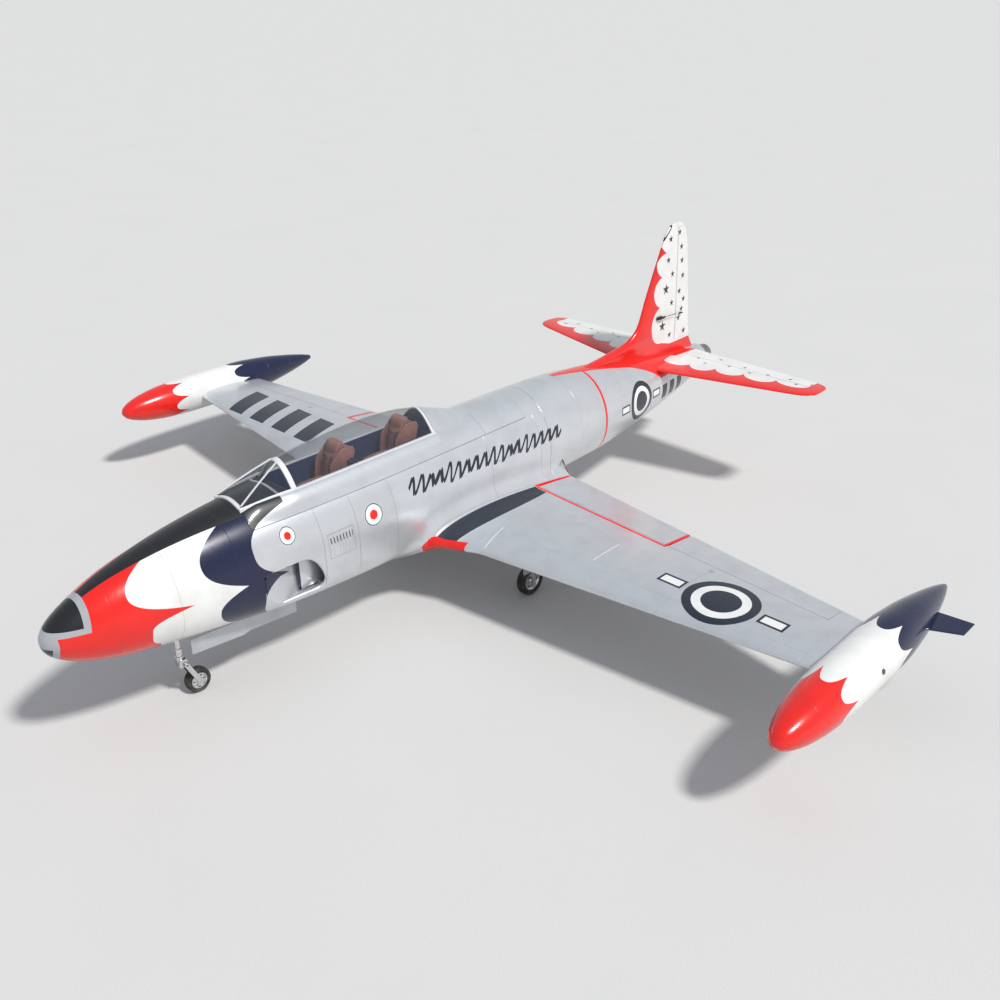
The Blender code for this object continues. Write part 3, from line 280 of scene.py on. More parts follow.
def taken(bm):
    """(points, faces) out of an edit mesh, which is freed."""
    points = np.array([v.co for v in bm.verts])
    faces = [tuple(v.index for v in f.verts) for f in bm.faces]
    bm.free()
    return points, faces


def lathe(profile, centre, axis="X", sides=48, closed=True):
    """A solid of revolution through (along, radius) points round an axis: a ring, or capped if not closed."""
    rings = []
    for along, radius in profile:
        angles = 2 * np.pi * (np.arange(sides) + 0.5) / sides
        a, b, c = radius * np.sin(angles), -radius * np.cos(angles), np.full(sides, along)
        ring = {"X": (c, a, b), "Y": (a, c, b), "Z": (a, b, c)}[axis]
        rings.append(np.stack(ring, axis=1) + np.array(centre))
    return loft(rings, closed)


def bar(start, end, radius, sides=20, bevel=0.15):
    """A round bar between two points, with softened ends."""
    start, end = Vector(start), Vector(end)
    along = end - start
    turn = along.to_track_quat("Z", "Y").to_matrix()
    b = radius * bevel
    profile = [(0, radius * 0.02), (0, radius - b), (b * 0.3, radius - b * 0.3), (b, radius),
               (along.length - b, radius), (along.length - b * 0.3, radius - b * 0.3),
               (along.length, radius - b), (along.length, radius * 0.02)]
    points, faces = lathe(profile, (0, 0, 0), "Z", sides, closed=False)
    return points @ np.array(turn).T + np.array(start), faces


def turned_about(shape, centre, axis, degrees):
    points, faces = shape
    spin = np.array(Matrix.Rotation(math.radians(degrees), 3, axis))
    return (points - np.array(centre)) @ spin.T + np.array(centre), faces


def mesh_object(name, shape):
    """A shape as an object in the frame, with outward normals."""
    points, faces = shape
    mesh = bpy.data.meshes.new(name)
    mesh.from_pydata([tuple(p) for p in np.asarray(points) + np.array(AHEAD)], [], faces)
    bm = bmesh.new()
    bm.from_mesh(mesh)
    bmesh.ops.remove_doubles(bm, verts=bm.verts, dist=2e-6)
    bmesh.ops.recalc_face_normals(bm, faces=bm.faces)
    bm.to_mesh(mesh)
    bm.free()
    obj = bpy.data.objects.new(name, mesh)
    bpy.context.scene.collection.objects.link(obj)
    return obj


def combine(obj, shapes, operation):
    """Applies a boolean with each shape in turn."""
    for shape in shapes:
        tool = mesh_object("tool", shape)
        step = obj.modifiers.new("cut", "BOOLEAN")
        step.operation = operation
        step.object = tool
        evaluated = obj.evaluated_get(bpy.context.evaluated_depsgraph_get())
        made = bpy.data.meshes.new_from_object(evaluated)
        obj.modifiers.clear()
        obj.data = made
        bpy.data.objects.remove(tool)


def shade(obj, like=None, angle=32):
    """Smooth shading with crisp edges. After cuts, corners on the original surface keep its own normals."""
    mesh = obj.data
    mesh.shade_smooth()
    mesh.set_sharp_from_angle(angle=math.radians(angle))
    if like is None:
        return
    tree = BVHTree.FromPolygons([v.co for v in like.vertices], [tuple(p.vertices) for p in like.polygons])
    corner_normals = [Vector(c.vector) for c in like.corner_normals]
    found = {}
    normals = [Vector(c.vector) for c in mesh.corner_normals]
    for polygon in mesh.polygons:
        middle = tree.find_nearest(polygon.center)
        if middle[3] > 4e-4 or abs(middle[1].dot(polygon.normal)) < 0.9:
            continue
        for index in polygon.loop_indices:
            corner = mesh.vertices[mesh.loops[index].vertex_index].co
            key = (mesh.loops[index].vertex_index, middle[2])
            if key not in found:
                _, flat, face, _ = tree.find_nearest(corner * 0.98 + polygon.center * 0.02)
                source = like.polygons[face]
                total = Vector()
                for k, vertex in zip(source.loop_indices, source.vertices):
                    w = 1 / ((like.vertices[vertex].co - corner).length + 1e-5)
                    total += corner_normals[k] * w
                found[key] = total.normalized() if flat.dot(polygon.normal) > 0.8 else None
            if found[key] is not None:
                normals[index] = found[key]
    mesh.normals_split_custom_set(normals)


def piece(name, shape, body, paint, slot=None, replaces=(), cut=(), keep=(), add=(), angle=32):
    """A finished piece of the model, riding on a body."""
    obj = mesh_object(name, shape)
    like = None
    if cut or keep:
        like = obj.data.copy()
        like.shade_smooth()
        like.set_sharp_from_angle(angle=math.radians(angle))
    combine(obj, add, "UNION")
    combine(obj, keep, "INTERSECT")
    combine(obj, cut, "DIFFERENCE")
    obj.data.materials.clear()
    obj.data.materials.append(paint)
    shade(obj, like, angle)
    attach(obj, body)
    if replaces:
        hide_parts(*replaces)
    return obj


def pair(name, shape, body, paint, slot, stands_for=None, cut=(), keep=(), add=(), angle=32):
    """The same piece on both sides, from shapes laid out to port. In a body's name {} is the side."""
    for side, label in SIDES:
        tools = ([on_side(tool, side) for tool in group] for group in (cut, keep, add))
        piece(f"{name}_{label}", on_side(shape, side), body.format(label), paint, slot,
              [f"{stands_for}_{label}"] if stands_for else [], *tools, angle)


# -------------------------------------------------------------------------------------------- materials

class Field:
    """A number that varies over a surface, wired from math nodes."""

    def __init__(self, tree, source):
        self.tree = tree
        self.source = source

    def op(self, name, *others, clamp=False):
        node = self.tree.nodes.new("ShaderNodeMath")
        node.operation = name
        node.use_clamp = clamp
        for k, value in enumerate((self, *others)):
            if isinstance(value, Field):
                self.tree.links.new(value.source, node.inputs[k])
            else:
                node.inputs[k].default_value = value
        return Field(self.tree, node.outputs[0])

    def __add__(self, other):
        return self.op("ADD", other)

    def __sub__(self, other):
        return self.op("SUBTRACT", other)

    def __rsub__(self, other):
        return self.op("MULTIPLY", -1.0).op("ADD", other)

    def __mul__(self, other):
        return self.op("MULTIPLY", other)

    def __truediv__(self, other):
        return self.op("DIVIDE", other)

    def __lt__(self, other):
        return self.op("LESS_THAN", other)

    def __gt__(self, other):
        return self.op("GREATER_THAN", other)

    def __and__(self, other):
        return self.op("MULTIPLY", other)

    def __or__(self, other):
        return self.op("MAXIMUM", other)

    def away(self, other):
        """Distance from a value."""
        return self.op("SUBTRACT", other).op("ABSOLUTE")

    def largest(self, other):
        return self.op("MAXIMUM", other)

    def power(self, other):
        return self.op("POWER", other)

    def between(self, low, high):
        return (self > low) & (self < high)

    def groove(self, at, width):
        """1 on a line at a value, falling to 0 on both sides."""
        return (1 - self.away(at) / width).op("MAXIMUM", 0.0)


class Paint:
    """A material being mixed: layers of colour, roughness and metal over fields of the surface."""

    def __init__(self, name, colour, roughness=0.35, metallic=0.0, coat=0.0, coat_roughness=0.05):
        self.material = bpy.data.materials.new(name)
        self.material.use_nodes = True
        self.tree = self.material.node_tree
        self.shader = self.tree.nodes["Principled BSDF"]
        self.colour = self.rgb(colour)
        self.roughness, self.metallic = roughness, metallic
        self.height = None
        self.shader.inputs["Coat Weight"].default_value = coat
        self.shader.inputs["Coat Roughness"].default_value = coat_roughness
        place = self.tree.nodes.new("ShaderNodeTexCoord")
        parts = self.tree.nodes.new("ShaderNodeSeparateXYZ")
        self.place = place.outputs["Object"]
        self.tree.links.new(self.place, parts.inputs[0])
        self.side = Field(self.tree, parts.outputs[0])
        self.x = self.side.op("ABSOLUTE")
        self.y = Field(self.tree, parts.outputs[1]) - NOSE_TIP
        self.z = Field(self.tree, parts.outputs[2])

    def rgb(self, colour):
        node = self.tree.nodes.new("ShaderNodeRGB")
        node.outputs[0].default_value = (*colour, 1)
        return node.outputs[0]

    def noise(self, scale, detail=3.0, stretch=(1, 1, 1)):
        mapping = self.tree.nodes.new("ShaderNodeMapping")
        mapping.inputs["Scale"].default_value = stretch
        texture = self.tree.nodes.new("ShaderNodeTexNoise")
        texture.inputs["Scale"].default_value = scale
        texture.inputs["Detail"].default_value = detail
        self.tree.links.new(self.place, mapping.inputs[0])
        self.tree.links.new(mapping.outputs[0], texture.inputs["Vector"])
        return Field(self.tree, texture.outputs["Fac"])

    def cells(self, scale):
        texture = self.tree.nodes.new("ShaderNodeTexVoronoi")
        texture.inputs["Scale"].default_value = scale
        self.tree.links.new(self.place, texture.inputs["Vector"])
        return Field(self.tree, texture.outputs["Distance"])

    def blend(self, mask, colour, mode="MIX"):
        node = self.tree.nodes.new("ShaderNodeMix")
        node.data_type = "RGBA"
        node.blend_type = mode
        self.tree.links.new(mask.source, node.inputs[0])
        self.tree.links.new(self.colour, node.inputs[6])
        if isinstance(colour, tuple):
            node.inputs[7].default_value = (*colour, 1)
        else:
            self.tree.links.new(colour, node.inputs[7])
        self.colour = node.outputs[2]

    def value_over(self, name, mask, value):
        before = getattr(self, name)
        if isinstance(before, Field):
            setattr(self, name, before + (value - before) * mask)
        else:
            setattr(self, name, mask * (value - before) + before)

    def layer(self, mask, colour, roughness=None, metallic=None):
        self.blend(mask, colour)
        if roughness is not None:
            self.value_over("roughness", mask, roughness)
        if metallic is not None:
            self.value_over("metallic", mask, metallic)

    def raise_by(self, field, amount):
        step = field * amount
        self.height = step if self.height is None else self.height + step

    def engrave(self, field, depth=0.0004, tint=0.55):
        """A panel line: darker and sunk."""
        self.blend(field * tint, (0.05, 0.05, 0.055))
        self.raise_by(field, -depth)

    def weather(self):
        """Slight unevenness of sprayed paint and handling."""
        cloud, fine = self.noise(18.0, 5.0), self.noise(240.0, 2.0)
        self.blend((cloud - 0.42) * 0.48, (0.30, 0.29, 0.28), "MULTIPLY")
        self.roughness = (cloud + fine - 1.0) * 0.10 + self.roughness

    def finish(self):
        shader, links = self.shader, self.tree.links
        links.new(self.colour, shader.inputs["Base Color"])
        for name in ("roughness", "metallic"):
            value, socket = getattr(self, name), shader.inputs[name.capitalize()]
            if isinstance(value, Field):
                links.new(value.source, socket)
            else:
                socket.default_value = value
        if self.height is not None:
            node = self.tree.nodes.new("ShaderNodeBump")
            node.inputs["Strength"].default_value = 1.0
            node.inputs["Distance"].default_value = 1.0
            links.new(self.height.source, node.inputs["Height"])
            links.new(node.outputs[0], shader.inputs["Normal"])
        return self.material


SILVER, RED, WHITE, NAVY = (0.64, 0.66, 0.69), (0.76, 0.011, 0.006), (0.77, 0.77, 0.755), (0.005, 0.009, 0.044)
BLACK, SLATE, STRIPE = (0.007, 0.007, 0.009), (0.010, 0.016, 0.030), (0.36, 0.38, 0.40)
SILVER_METAL, SILVER_ROUGH, GLOSS = 0.60, 0.31, 0.24


def silver_paint(name):
    """Satin silver with metal flake, whose sparkle is painted into its colour as lighter specks: painted glints."""
    paint = Paint(name, SILVER, SILVER_ROUGH, SILVER_METAL, coat=0.25, coat_roughness=0.12)
    flake_glints = paint.cells(900.0)
    # Painted glints: near-white specks in the colour stand in for the flake's sparkle.
    paint.blend((flake_glints - 0.25) * 0.22, (0.95, 0.95, 0.97))
    return paint


def cover(paint, mask, colour, roughness=GLOSS):
    paint.layer(mask, colour, roughness, 0.0)


def lobe(paint, front, centre, up, down, reach, power):
    """Aft of a rounded tongue of colour whose tip is at front, as it runs along the fuselage's side."""
    t = ((paint.z - centre) / up).largest((centre - paint.z) / down)
    return paint.y > t.op("MAXIMUM", 0.0).op("MINIMUM", 1.15).power(power) * reach + front


def distance(a, b):
    return (a * a + b * b).op("SQRT")


def ellipse(across, up, centre, radii):
    return ((across - centre[0]) / radii[0]).power(2) + ((up - centre[1]) / radii[1]).power(2) < 1.0


def any_of(masks):
    return reduce(Field.__or__, masks)


def star(across, up, radius, centre):
    """A five-pointed star in a plane of two fields."""
    a, b = across - centre[0], up - centre[1]
    fold = 2 * math.pi / 5
    angle = a.op("ARCTAN2", b)
    angle = angle.op("ADD", fold / 2).op("FLOORED_MODULO", fold).away(fold / 2)
    inner = radius * 0.382
    nx, ny = inner * math.sin(fold / 2), radius - inner * math.cos(fold / 2)
    edge = angle.op("COSINE") * nx + angle.op("SINE") * ny
    return distance(a, b) * edge < radius * inner * math.sin(fold / 2)


def roundel(paint, along, up, centre, radius, mask):
    """A plain roundel: a dark disc with a pale ring, and a short dash on each side."""
    a, b = along.away(centre[0]), up.away(centre[1])
    reach = distance(a, b)
    dash = a.between(radius * 1.12, radius * 1.85) & (b < radius * 0.22)
    inside_dash = a.between(radius * 1.19, radius * 1.78) & (b < radius * 0.14)
    cover(paint, mask & (dash | (reach < radius)), SLATE)
    cover(paint, mask & (inside_dash | reach.between(radius * 0.52, radius * 0.76)), WHITE)


# Upper and lower tongue of white, navy and silver: front, centre, reach up and down, length, and how blunt
NOSE_LOBES = [[(0.1640, 0.347, 0.0710, 0.0600, 0.1315, 2.2), (0.1950, 0.252, 0.0365, 0.0570, 0.1000, 4)],
              [(0.3230, 0.356, 0.0680, 0.0708, 0.0926, 2.2), (0.3457, 0.242, 0.0440, 0.0680, 0.0700, 2.3)],
              [(0.4415, 0.348, 0.0670, 0.0684, 0.0755, 2.8), (0.4534, 0.238, 0.0416, 0.0750, 0.0636, 5)]]
BADGES = [(0.530, 0.360, 0.020), (0.762, 0.330, 0.027)]
# The red patch on the wing's root: its rear edge as a + b * x, and its top on the fuselage
PATCH_EDGE, PATCH_TOP = (0.8669, 0.46), 0.2085


def line_of(field, pair):
    return field * pair[1] + pair[0]


def fuselage_livery(paint):
    x, y, z = paint.x, paint.y, paint.z
    white, dark, silver = (any_of([lobe(paint, *tongue) for tongue in pair]) for pair in NOSE_LOBES)
    white = white | ((y > z * -0.35 + 0.2905) & (z < 0.2135))
    bare = 1 - silver
    cover(paint, bare, RED)
    cover(paint, bare & white, WHITE)
    cover(paint, bare & dark, NAVY)
    glare = (x < (y - 0.12) * 0.119 + 0.0175) & y.between(0.092, HATCH_FRONT + 0.004)
    glare = glare | (bare & (y > HATCH_FRONT) & (z > COVER_SEAM_Z) & (y < 0.62))
    cover(paint, glare, BLACK, 0.42)
    front = (z - 0.3127) * 0.20 + 0.0721
    stripe = ((y < front + 0.0130) & (z > 0.3015)) | (z.between(0.2785, 0.3015) & (y < 0.0232))
    stripe = stripe | ((y < 0.0220) & (z < 0.2790))
    cover(paint, stripe, STRIPE, 0.34)
    cap = ((y < front) & (z > 0.3130)) | ((y < 0.0118) & (z < 0.2790))
    cover(paint, cap, BLACK, 0.33)
    dorsal = (y - 1.6277) * 0.113 + 0.0182
    dorsal = dorsal.largest((y - 1.8615) * 0.29 + 0.0444)
    tail = (y.between(1.545, 2.215)) & (z > 0.322) & (x < dorsal)
    ring = y.between(1.6595, 1.6685)
    cover(paint, tail | ring, RED)
    roundel(paint, y, z, (1.856, 0.288), 0.060, x > 0.03)
    numbers = (y - 1.985).op("FLOORED_MODULO", 0.048) < 0.030
    numbers = numbers & y.between(1.985, 2.118) & z.between(0.252, 0.300)
    cover(paint, numbers, SLATE)
    above = z - 0.353 + (y - 0.875) * 0.046
    slanted = (y - above * 0.65) * (2 * math.pi / 0.0315)
    long_wave, short_wave = ((y * (2 * math.pi / length)).op("SINE") for length in (0.143, 0.091))
    tall = long_wave * 0.0045 + short_wave * 0.003 + 0.0125
    stroke = slanted.op("COSINE").op("ABSOLUTE") * 0.0098 + 0.0036
    flourish = (above.away(slanted.op("SINE") * tall) < stroke) & y.between(0.880, 1.452)
    cover(paint, flourish & (z < COVER_SEAM_Z), SLATE)
    for place, height, radius in BADGES:
        reach = distance(y - place, z - height)
        badge = (reach < radius) & (x > 0.05)
        cover(paint, badge, WHITE)
        cover(paint, badge & reach.between(radius * 0.88, radius * 0.97), SLATE)
        cover(paint, badge & (reach < radius * 0.42), RED)
    patch = (x > z * 0.41 + 0.0624) & (y < line_of(x, PATCH_EDGE)) & (y > 0.899) & (z < PATCH_TOP)
    cover(paint, patch, RED)
    side = (z.between(0.20, COVER_SEAM_Z)) & (x > 0.04)
    grille = y.between(0.6250, 0.6990) & z.between(0.2670, 0.3285)
    inside = y.between(0.6259, 0.6981) & z.between(0.2679, 0.3276)
    paint.engrave(grille & (1 - inside) & side, 0.0003, 0.5)
    # Painted shade: the slots between the louvre's slats are painted black.
    slot = ((y - 0.6310).op("FLOORED_MODULO", 0.0088) < 0.0024) & y.between(0.6300, 0.6945)
    cover(paint, slot & z.between(0.3040, 0.3190) & side, BLACK, 0.8)
    seam = z.groove(COVER_SEAM_Z, 0.0011) & y.between(HATCH_FRONT, TURBINE_COVER_REAR)
    paint.engrave(seam | (y.groove(HATCH_FRONT, 0.0011) & (z > COVER_SEAM_Z)), 0.0003, 0.7)
    for place in (0.612, 0.711, 0.828, 1.165, 1.36):
        paint.engrave(y.groove(place, 0.0009) & side)
    for place, tint in ((0.130, 0.35), (0.262, 0.35), (0.405, 0.35), (1.545, 0.3)):
        paint.engrave(y.groove(place, 0.0009), 0.0003, tint)
    paint.engrave(y.groove(BODY_JOINT, 0.0010), 0.0004, 0.6)
    paint.engrave(z.groove(0.322, 0.0008) & y.between(1.165, 1.36) & side, 0.0003, 0.4)


def wing_livery(paint):
    x, y, z, side = paint.x, paint.y, paint.z, paint.side
    hinge = line_of(x, HINGE_LINE)
    patch = (x < 0.231) & (y < line_of(x, PATCH_EDGE)) & ((z < PATCH_TOP) | (x > 0.170))
    cover(paint, patch, RED)
    top = z > line_of(x, WING_PLANE)
    walk = (x > 0.1560) & (x < (y - 1.12).power(2) * -0.47 + 0.2145)
    walk = walk & ((y > line_of(x, PATCH_EDGE)) | ((z > PATCH_TOP) & (x < 0.170))) & (hinge - y > 0.0155) & top
    cover(paint, walk, SLATE, 0.62)
    spanwise = (hinge - y).between(0.0045, 0.0135) & x.between(0.1510, 0.6145) & top
    chordwise = x.between(0.6050, 0.6145) & (hinge - y < 0.0135) & top
    inner = x.between(0.1510, 0.1605) & (hinge - y < 0.0135) & (y - hinge < 0.130) & top
    cover(paint, spanwise | chordwise | inner, RED)
    roundel(paint, x, y, (0.856, 1.1430), 0.088, top & (side > 0.0))
    leaned = x - (y - 1.12) * 0.35
    blocks = (leaned - 0.560).op("FLOORED_MODULO", 0.115) < 0.070
    blocks = blocks & leaned.between(0.560, 0.980) & y.between(1.060, 1.205) & top & (side < 0.0)
    cover(paint, blocks, SLATE)
    roundel(paint, x, y, (0.856, 1.1430), 0.088, (1 - top) & (side < 0.0))
    paint.engrave(((y - x * 0.045).groove(1.045, 0.0009)) & x.between(0.30, 1.10) & top, 0.0003, 0.22)
    for place in (0.760, 1.090):
        paint.engrave(x.groove(place, 0.0009) & top & (hinge > y), 0.0003, 0.22)
    # Painted highlights: short white lines where panel lines catch the light.
    for place, slope, start, end in ((0.532, -0.02, 1.095, 1.197), (0.278, -0.20, 0.984, 1.069)):
        panel_line_highlight = (x - (y - start) * slope).away(place) < 0.0011
        cover(paint, panel_line_highlight & y.between(start, end) & top, WHITE)


def tank_livery(paint):
    x, y, z = paint.x, paint.y, paint.z
    angle = (z - TANK_Z).op("ARCTAN2", x - TANK_X)
    turn = 2 * math.pi / 7
    fold = (angle - math.radians(9.8)).op("FLOORED_MODULO", turn).away(turn / 2) * (2 / turn)
    depth = fold.power(2.6) * 0.049
    cover(paint, y < 2.0, WHITE)
    cover(paint, y < depth + 0.977, RED)
    cover(paint, y > depth + 1.214, NAVY)
    for place in (0.849, 0.908, 1.351, 1.4536):
        paint.engrave(y.groove(place, 0.0009), 0.0003, 0.5)


FIN_LOBES = [((2.100, 0.722), (0.045, 0.039)), ((2.081, 0.649), (0.046, 0.038)), ((2.072, 0.5665), (0.050, 0.049)),
             ((2.073, 0.4600), (0.058, 0.0620))]
FIN_STARS = [(2.147, 0.740), (2.097, 0.727), (2.162, 0.693), (2.090, 0.663), (2.170, 0.648), (2.118, 0.615),
             (2.180, 0.598), (2.164, 0.550), (2.192, 0.519), (2.122, 0.521), (2.183, 0.488), (2.168, 0.461),
             (2.122, 0.415), (2.205, 0.410)]
LARGE_STARS = [(2.085, 0.572), (2.074, 0.4544)]


def fin_livery(paint):
    y, z = paint.y, paint.z
    white = (z > 0.7075) | ((y > 2.080) & (z > 0.398 - (y - 2.0756) * 0.27))
    white = any_of([white] + [ellipse(y, z, centre, radii) for centre, radii in FIN_LOBES])
    cover(paint, white & (z > 0.384), WHITE)
    stars = any_of([star(y, z, 0.0125, centre) for centre in FIN_STARS]
                   + [star(y, z, 0.0195, centre) for centre in LARGE_STARS])
    cover(paint, stars & white, BLACK)
    slope = (2.104 - 2.0523) / (0.7719 - 0.7132)
    edge = (y - (z - 0.7132) * slope).away(2.0545) < 0.0024
    cover(paint, edge & (z > 0.7095), BLACK)


TAIL_LOBES = [((0.0725, 2.083), (0.052, 0.042)), ((0.1610, 2.094), (0.042, 0.044)), ((0.2460, 2.116), (0.047, 0.042)),
              ((0.3420, 2.133), (0.052, 0.042)), ((0.4400, 2.160), (0.055, 0.040))]
TAIL_STARS = [(0.105, 2.150), (0.150, 2.120), (0.165, 2.188), (0.220, 2.150), (0.262, 2.175), (0.300, 2.140),
              (0.350, 2.165), (0.420, 2.178), (0.455, 2.150)]


def tail_livery(paint):
    x, y, z = paint.x, paint.y, paint.z
    top = z > TAIL_Z - 0.02
    white = (y > (x - 0.1228) * 0.27 + 2.085) & x.between(0.040, 0.494)
    white = any_of([white] + [ellipse(x, y, centre, radii) for centre, radii in TAIL_LOBES])
    cover(paint, white & top & (x < 0.494), WHITE)
    cover(paint, any_of([star(x, y, 0.0085, centre) for centre in TAIL_STARS]) & top, BLACK)


def lining_livery(paint):
    y, z = paint.y, paint.z
    tongue = ellipse(y, z, (0.508, 0.229), (0.0545, 0.0345))
    beside = (y < 0.508) & (1 - tongue) & ((z > 0.229) | (y < 0.4625))
    above = (y > 0.508) & (z > (y - 0.508) * -0.18 + 0.2635)
    cover(paint, (beside | above) & (z < (y - 0.4748) * -0.556 + 0.2931), NAVY)
    # Painted shade: deeper into the duct the lining turns a near-black grey.
    paint.layer((y - 0.585).op("MULTIPLY", 14.0, clamp=True), (0.035, 0.037, 0.045), 0.6, 0.1)


def splitter_livery(paint):
    cover(paint, paint.y < 0.5625, NAVY)


def plain(name, colour, roughness, metallic=0.0, coat=0.0, scale=40.0, amount=0.10, grain=0.0, stretch=(1, 1, 1)):
    """A single-colour material with cloudy variation, worn roughness and, if asked, a fine grain."""
    paint = Paint(name, colour, roughness, metallic, coat)
    cloud = paint.noise(scale, 6.0, stretch)
    paint.blend((cloud - 0.35) * amount * 5, tuple(c * 0.45 for c in colour))
    paint.roughness = (cloud - 0.5) * 0.25 + roughness
    if grain:
        paint.raise_by(paint.noise(scale * 22, 3.0, stretch), grain)
    return paint.finish()


def livery(name, draw, base=None):
    paint = silver_paint(name) if base is None else Paint(name, base, GLOSS, 0.0, coat=0.35)
    draw(paint)
    paint.weather()
    return paint.finish()


def glass(name, colour, facing_alpha, edge_alpha):
    """Thin clear plastic: nearly clear face on, and more reflecting towards its edges."""
    paint = Paint(name, colour, 0.03, 0.0, coat=1.0, coat_roughness=0.02)
    weight = paint.tree.nodes.new("ShaderNodeLayerWeight")
    weight.inputs["Blend"].default_value = 0.30
    facing = Field(paint.tree, weight.outputs["Facing"])
    haze = paint.noise(6.0, 4.0)
    paint.blend(haze * 0.5, tuple(c * 0.6 for c in colour))
    paint.roughness = (haze - 0.4) * 0.05 + 0.035
    alpha = facing.power(2.0) * (edge_alpha - facing_alpha) + facing_alpha
    paint.tree.links.new(alpha.source, paint.shader.inputs["Alpha"])
    made = paint.finish()
    made.surface_render_method = "BLENDED"
    return made


def leather(name, colour):
    paint = Paint(name, colour, 0.58, 0.0, coat=0.05, coat_roughness=0.4)
    wrinkle = paint.cells(260.0)
    cloud = paint.noise(30.0, 5.0)
    paint.blend((cloud - 0.35) * 0.7, tuple(c * 0.5 for c in colour))
    # Painted shade: the grain's pits, where the bump sinks, are darker.
    paint.blend((wrinkle < 0.12) * 0.35, tuple(c * 0.35 for c in colour))
    paint.raise_by(wrinkle, 0.0006)
    paint.roughness = (cloud - 0.5) * 0.3 + 0.58
    return paint.finish()


def rubber(name):
    paint = Paint(name, (0.018, 0.018, 0.019), 0.82)
    dust = paint.noise(55.0, 6.0)
    low = (0.016 - paint.z) * 30.0
    paint.blend((dust - 0.45).op("MAXIMUM", 0.0) * 1.4 + low.op("MAXIMUM", 0.0) * 0.4, (0.20, 0.18, 0.16))
    paint.raise_by(paint.noise(900.0, 2.0), 0.0003)
    paint.roughness = (dust - 0.5) * 0.3 + 0.82
    return paint.finish()


def brushed(name, colour, roughness, metallic=1.0, stretch=(1, 1, 12)):
    """Machined metal with drawn streaks and darker hollows."""
    paint = Paint(name, colour, roughness, metallic)
    streak = paint.noise(150.0, 3.0, stretch)
    cloud = paint.noise(35.0, 5.0)
    paint.blend((cloud - 0.4) * 0.9, tuple(c * 0.55 for c in colour))
    paint.roughness = (streak - 0.5) * 0.25 + (cloud - 0.5) * 0.2 + roughness
    paint.raise_by(streak, 0.00012)
    return paint.finish()


def wood(name):
    paint = Paint(name, (0.52, 0.36, 0.20), 0.6)
    grain = paint.noise(30.0, 5.0, (6, 0.6, 6))
    paint.blend((grain - 0.42) * 3.0, (0.28, 0.17, 0.08))
    paint.raise_by(grain, 0.0004)
    return paint.finish()


def weave(name):
    """Woven carbon under resin."""
    paint = Paint(name, (0.02, 0.02, 0.022), 0.3, 0.2, coat=0.5)
    checks = ((paint.x * 900).op("SINE") * (paint.y * 900).op("SINE")) > 0.0
    paint.blend(checks * 0.6, (0.06, 0.06, 0.065))
    paint.raise_by(checks, 0.0001)
    return paint.finish()


SKIN_PAINT = livery("fuselage_paint", fuselage_livery)
WING_PAINT = livery("wing_paint", wing_livery)
TANK_PAINT = livery("tank_paint", tank_livery, WHITE)
FIN_PAINT = livery("fin_paint", fin_livery, RED)
TAIL_PAINT = livery("tailplane_paint", tail_livery, RED)
CANOPY_CLEAR = glass("canopy_clear", (0.13, 0.145, 0.17), 0.13, 0.62)
SCREEN_CLEAR = glass("windscreen_clear", (0.11, 0.125, 0.14), 0.11, 0.60)
FRAME_PAINT = plain("canopy_frame_paint", (0.74, 0.75, 0.77), 0.32, 0.25, 0.3, 30, 0.05)
SEAT_LEATHER = leather("seat_leather", (0.36, 0.155, 0.115))
SEAT_SHELL = plain("seat_shell_brown", (0.31, 0.130, 0.098), 0.48, scale=70, amount=0.25, grain=0.0002)
STRAP_CLOTH = plain("harness_cloth", (0.10, 0.045, 0.035), 0.9, scale=120, amount=0.3, grain=0.0004)
TUB_PAINT = plain("cockpit_navy", (0.018, 0.030, 0.110), 0.55, scale=60, amount=0.3, grain=0.0002)
DASH_BLACK = plain("panel_black", (0.015, 0.015, 0.017), 0.6, scale=90, amount=0.3, grain=0.0003)
DIAL_PAINT = plain("dial_face", (0.55, 0.56, 0.58), 0.4, scale=300, amount=0.5)
GEAR_METAL = brushed("gear_metal", (0.72, 0.72, 0.73), 0.24)
DARK_METAL = brushed("dark_metal", (0.20, 0.20, 0.21), 0.38)
PIPE_METAL = brushed("pipe_metal", (0.42, 0.38, 0.34), 0.34, stretch=(10, 1, 10))
TURBINE_METAL = brushed("turbine_metal", (0.62, 0.60, 0.58), 0.3)
TYRE_RUBBER = rubber("tyre_rubber")
WELL_RED = plain("wheel_bay_red", (0.55, 0.02, 0.015), 0.45, coat=0.2, scale=40, amount=0.25)
DOOR_GREY = plain("door_silver", (0.50, 0.52, 0.54), 0.36, 0.5, 0.2, 35, 0.10)
LINING_PAINT = livery("duct_lining", lining_livery)
SPLITTER_PAINT = livery("splitter_paint", splitter_livery)
PLASTIC = plain("black_plastic", (0.02, 0.02, 0.022), 0.45, scale=80, amount=0.3, grain=0.0002)
TANK_PLASTIC = plain("translucent_plastic", (0.78, 0.77, 0.70), 0.4, coat=0.2, scale=18, amount=0.08)
WRAP = plain("battery_wrap", (0.04, 0.06, 0.22), 0.35, coat=0.3, scale=50, amount=0.2, grain=0.0003)
CAST = plain("cast_ballast", (0.16, 0.165, 0.17), 0.6, 0.8, scale=60, amount=0.3, grain=0.0006)
PLY = wood("plywood_tray")
CARBON = weave("carbon_tube")


# --------------------------------------------------------------------------------------------- fuselage

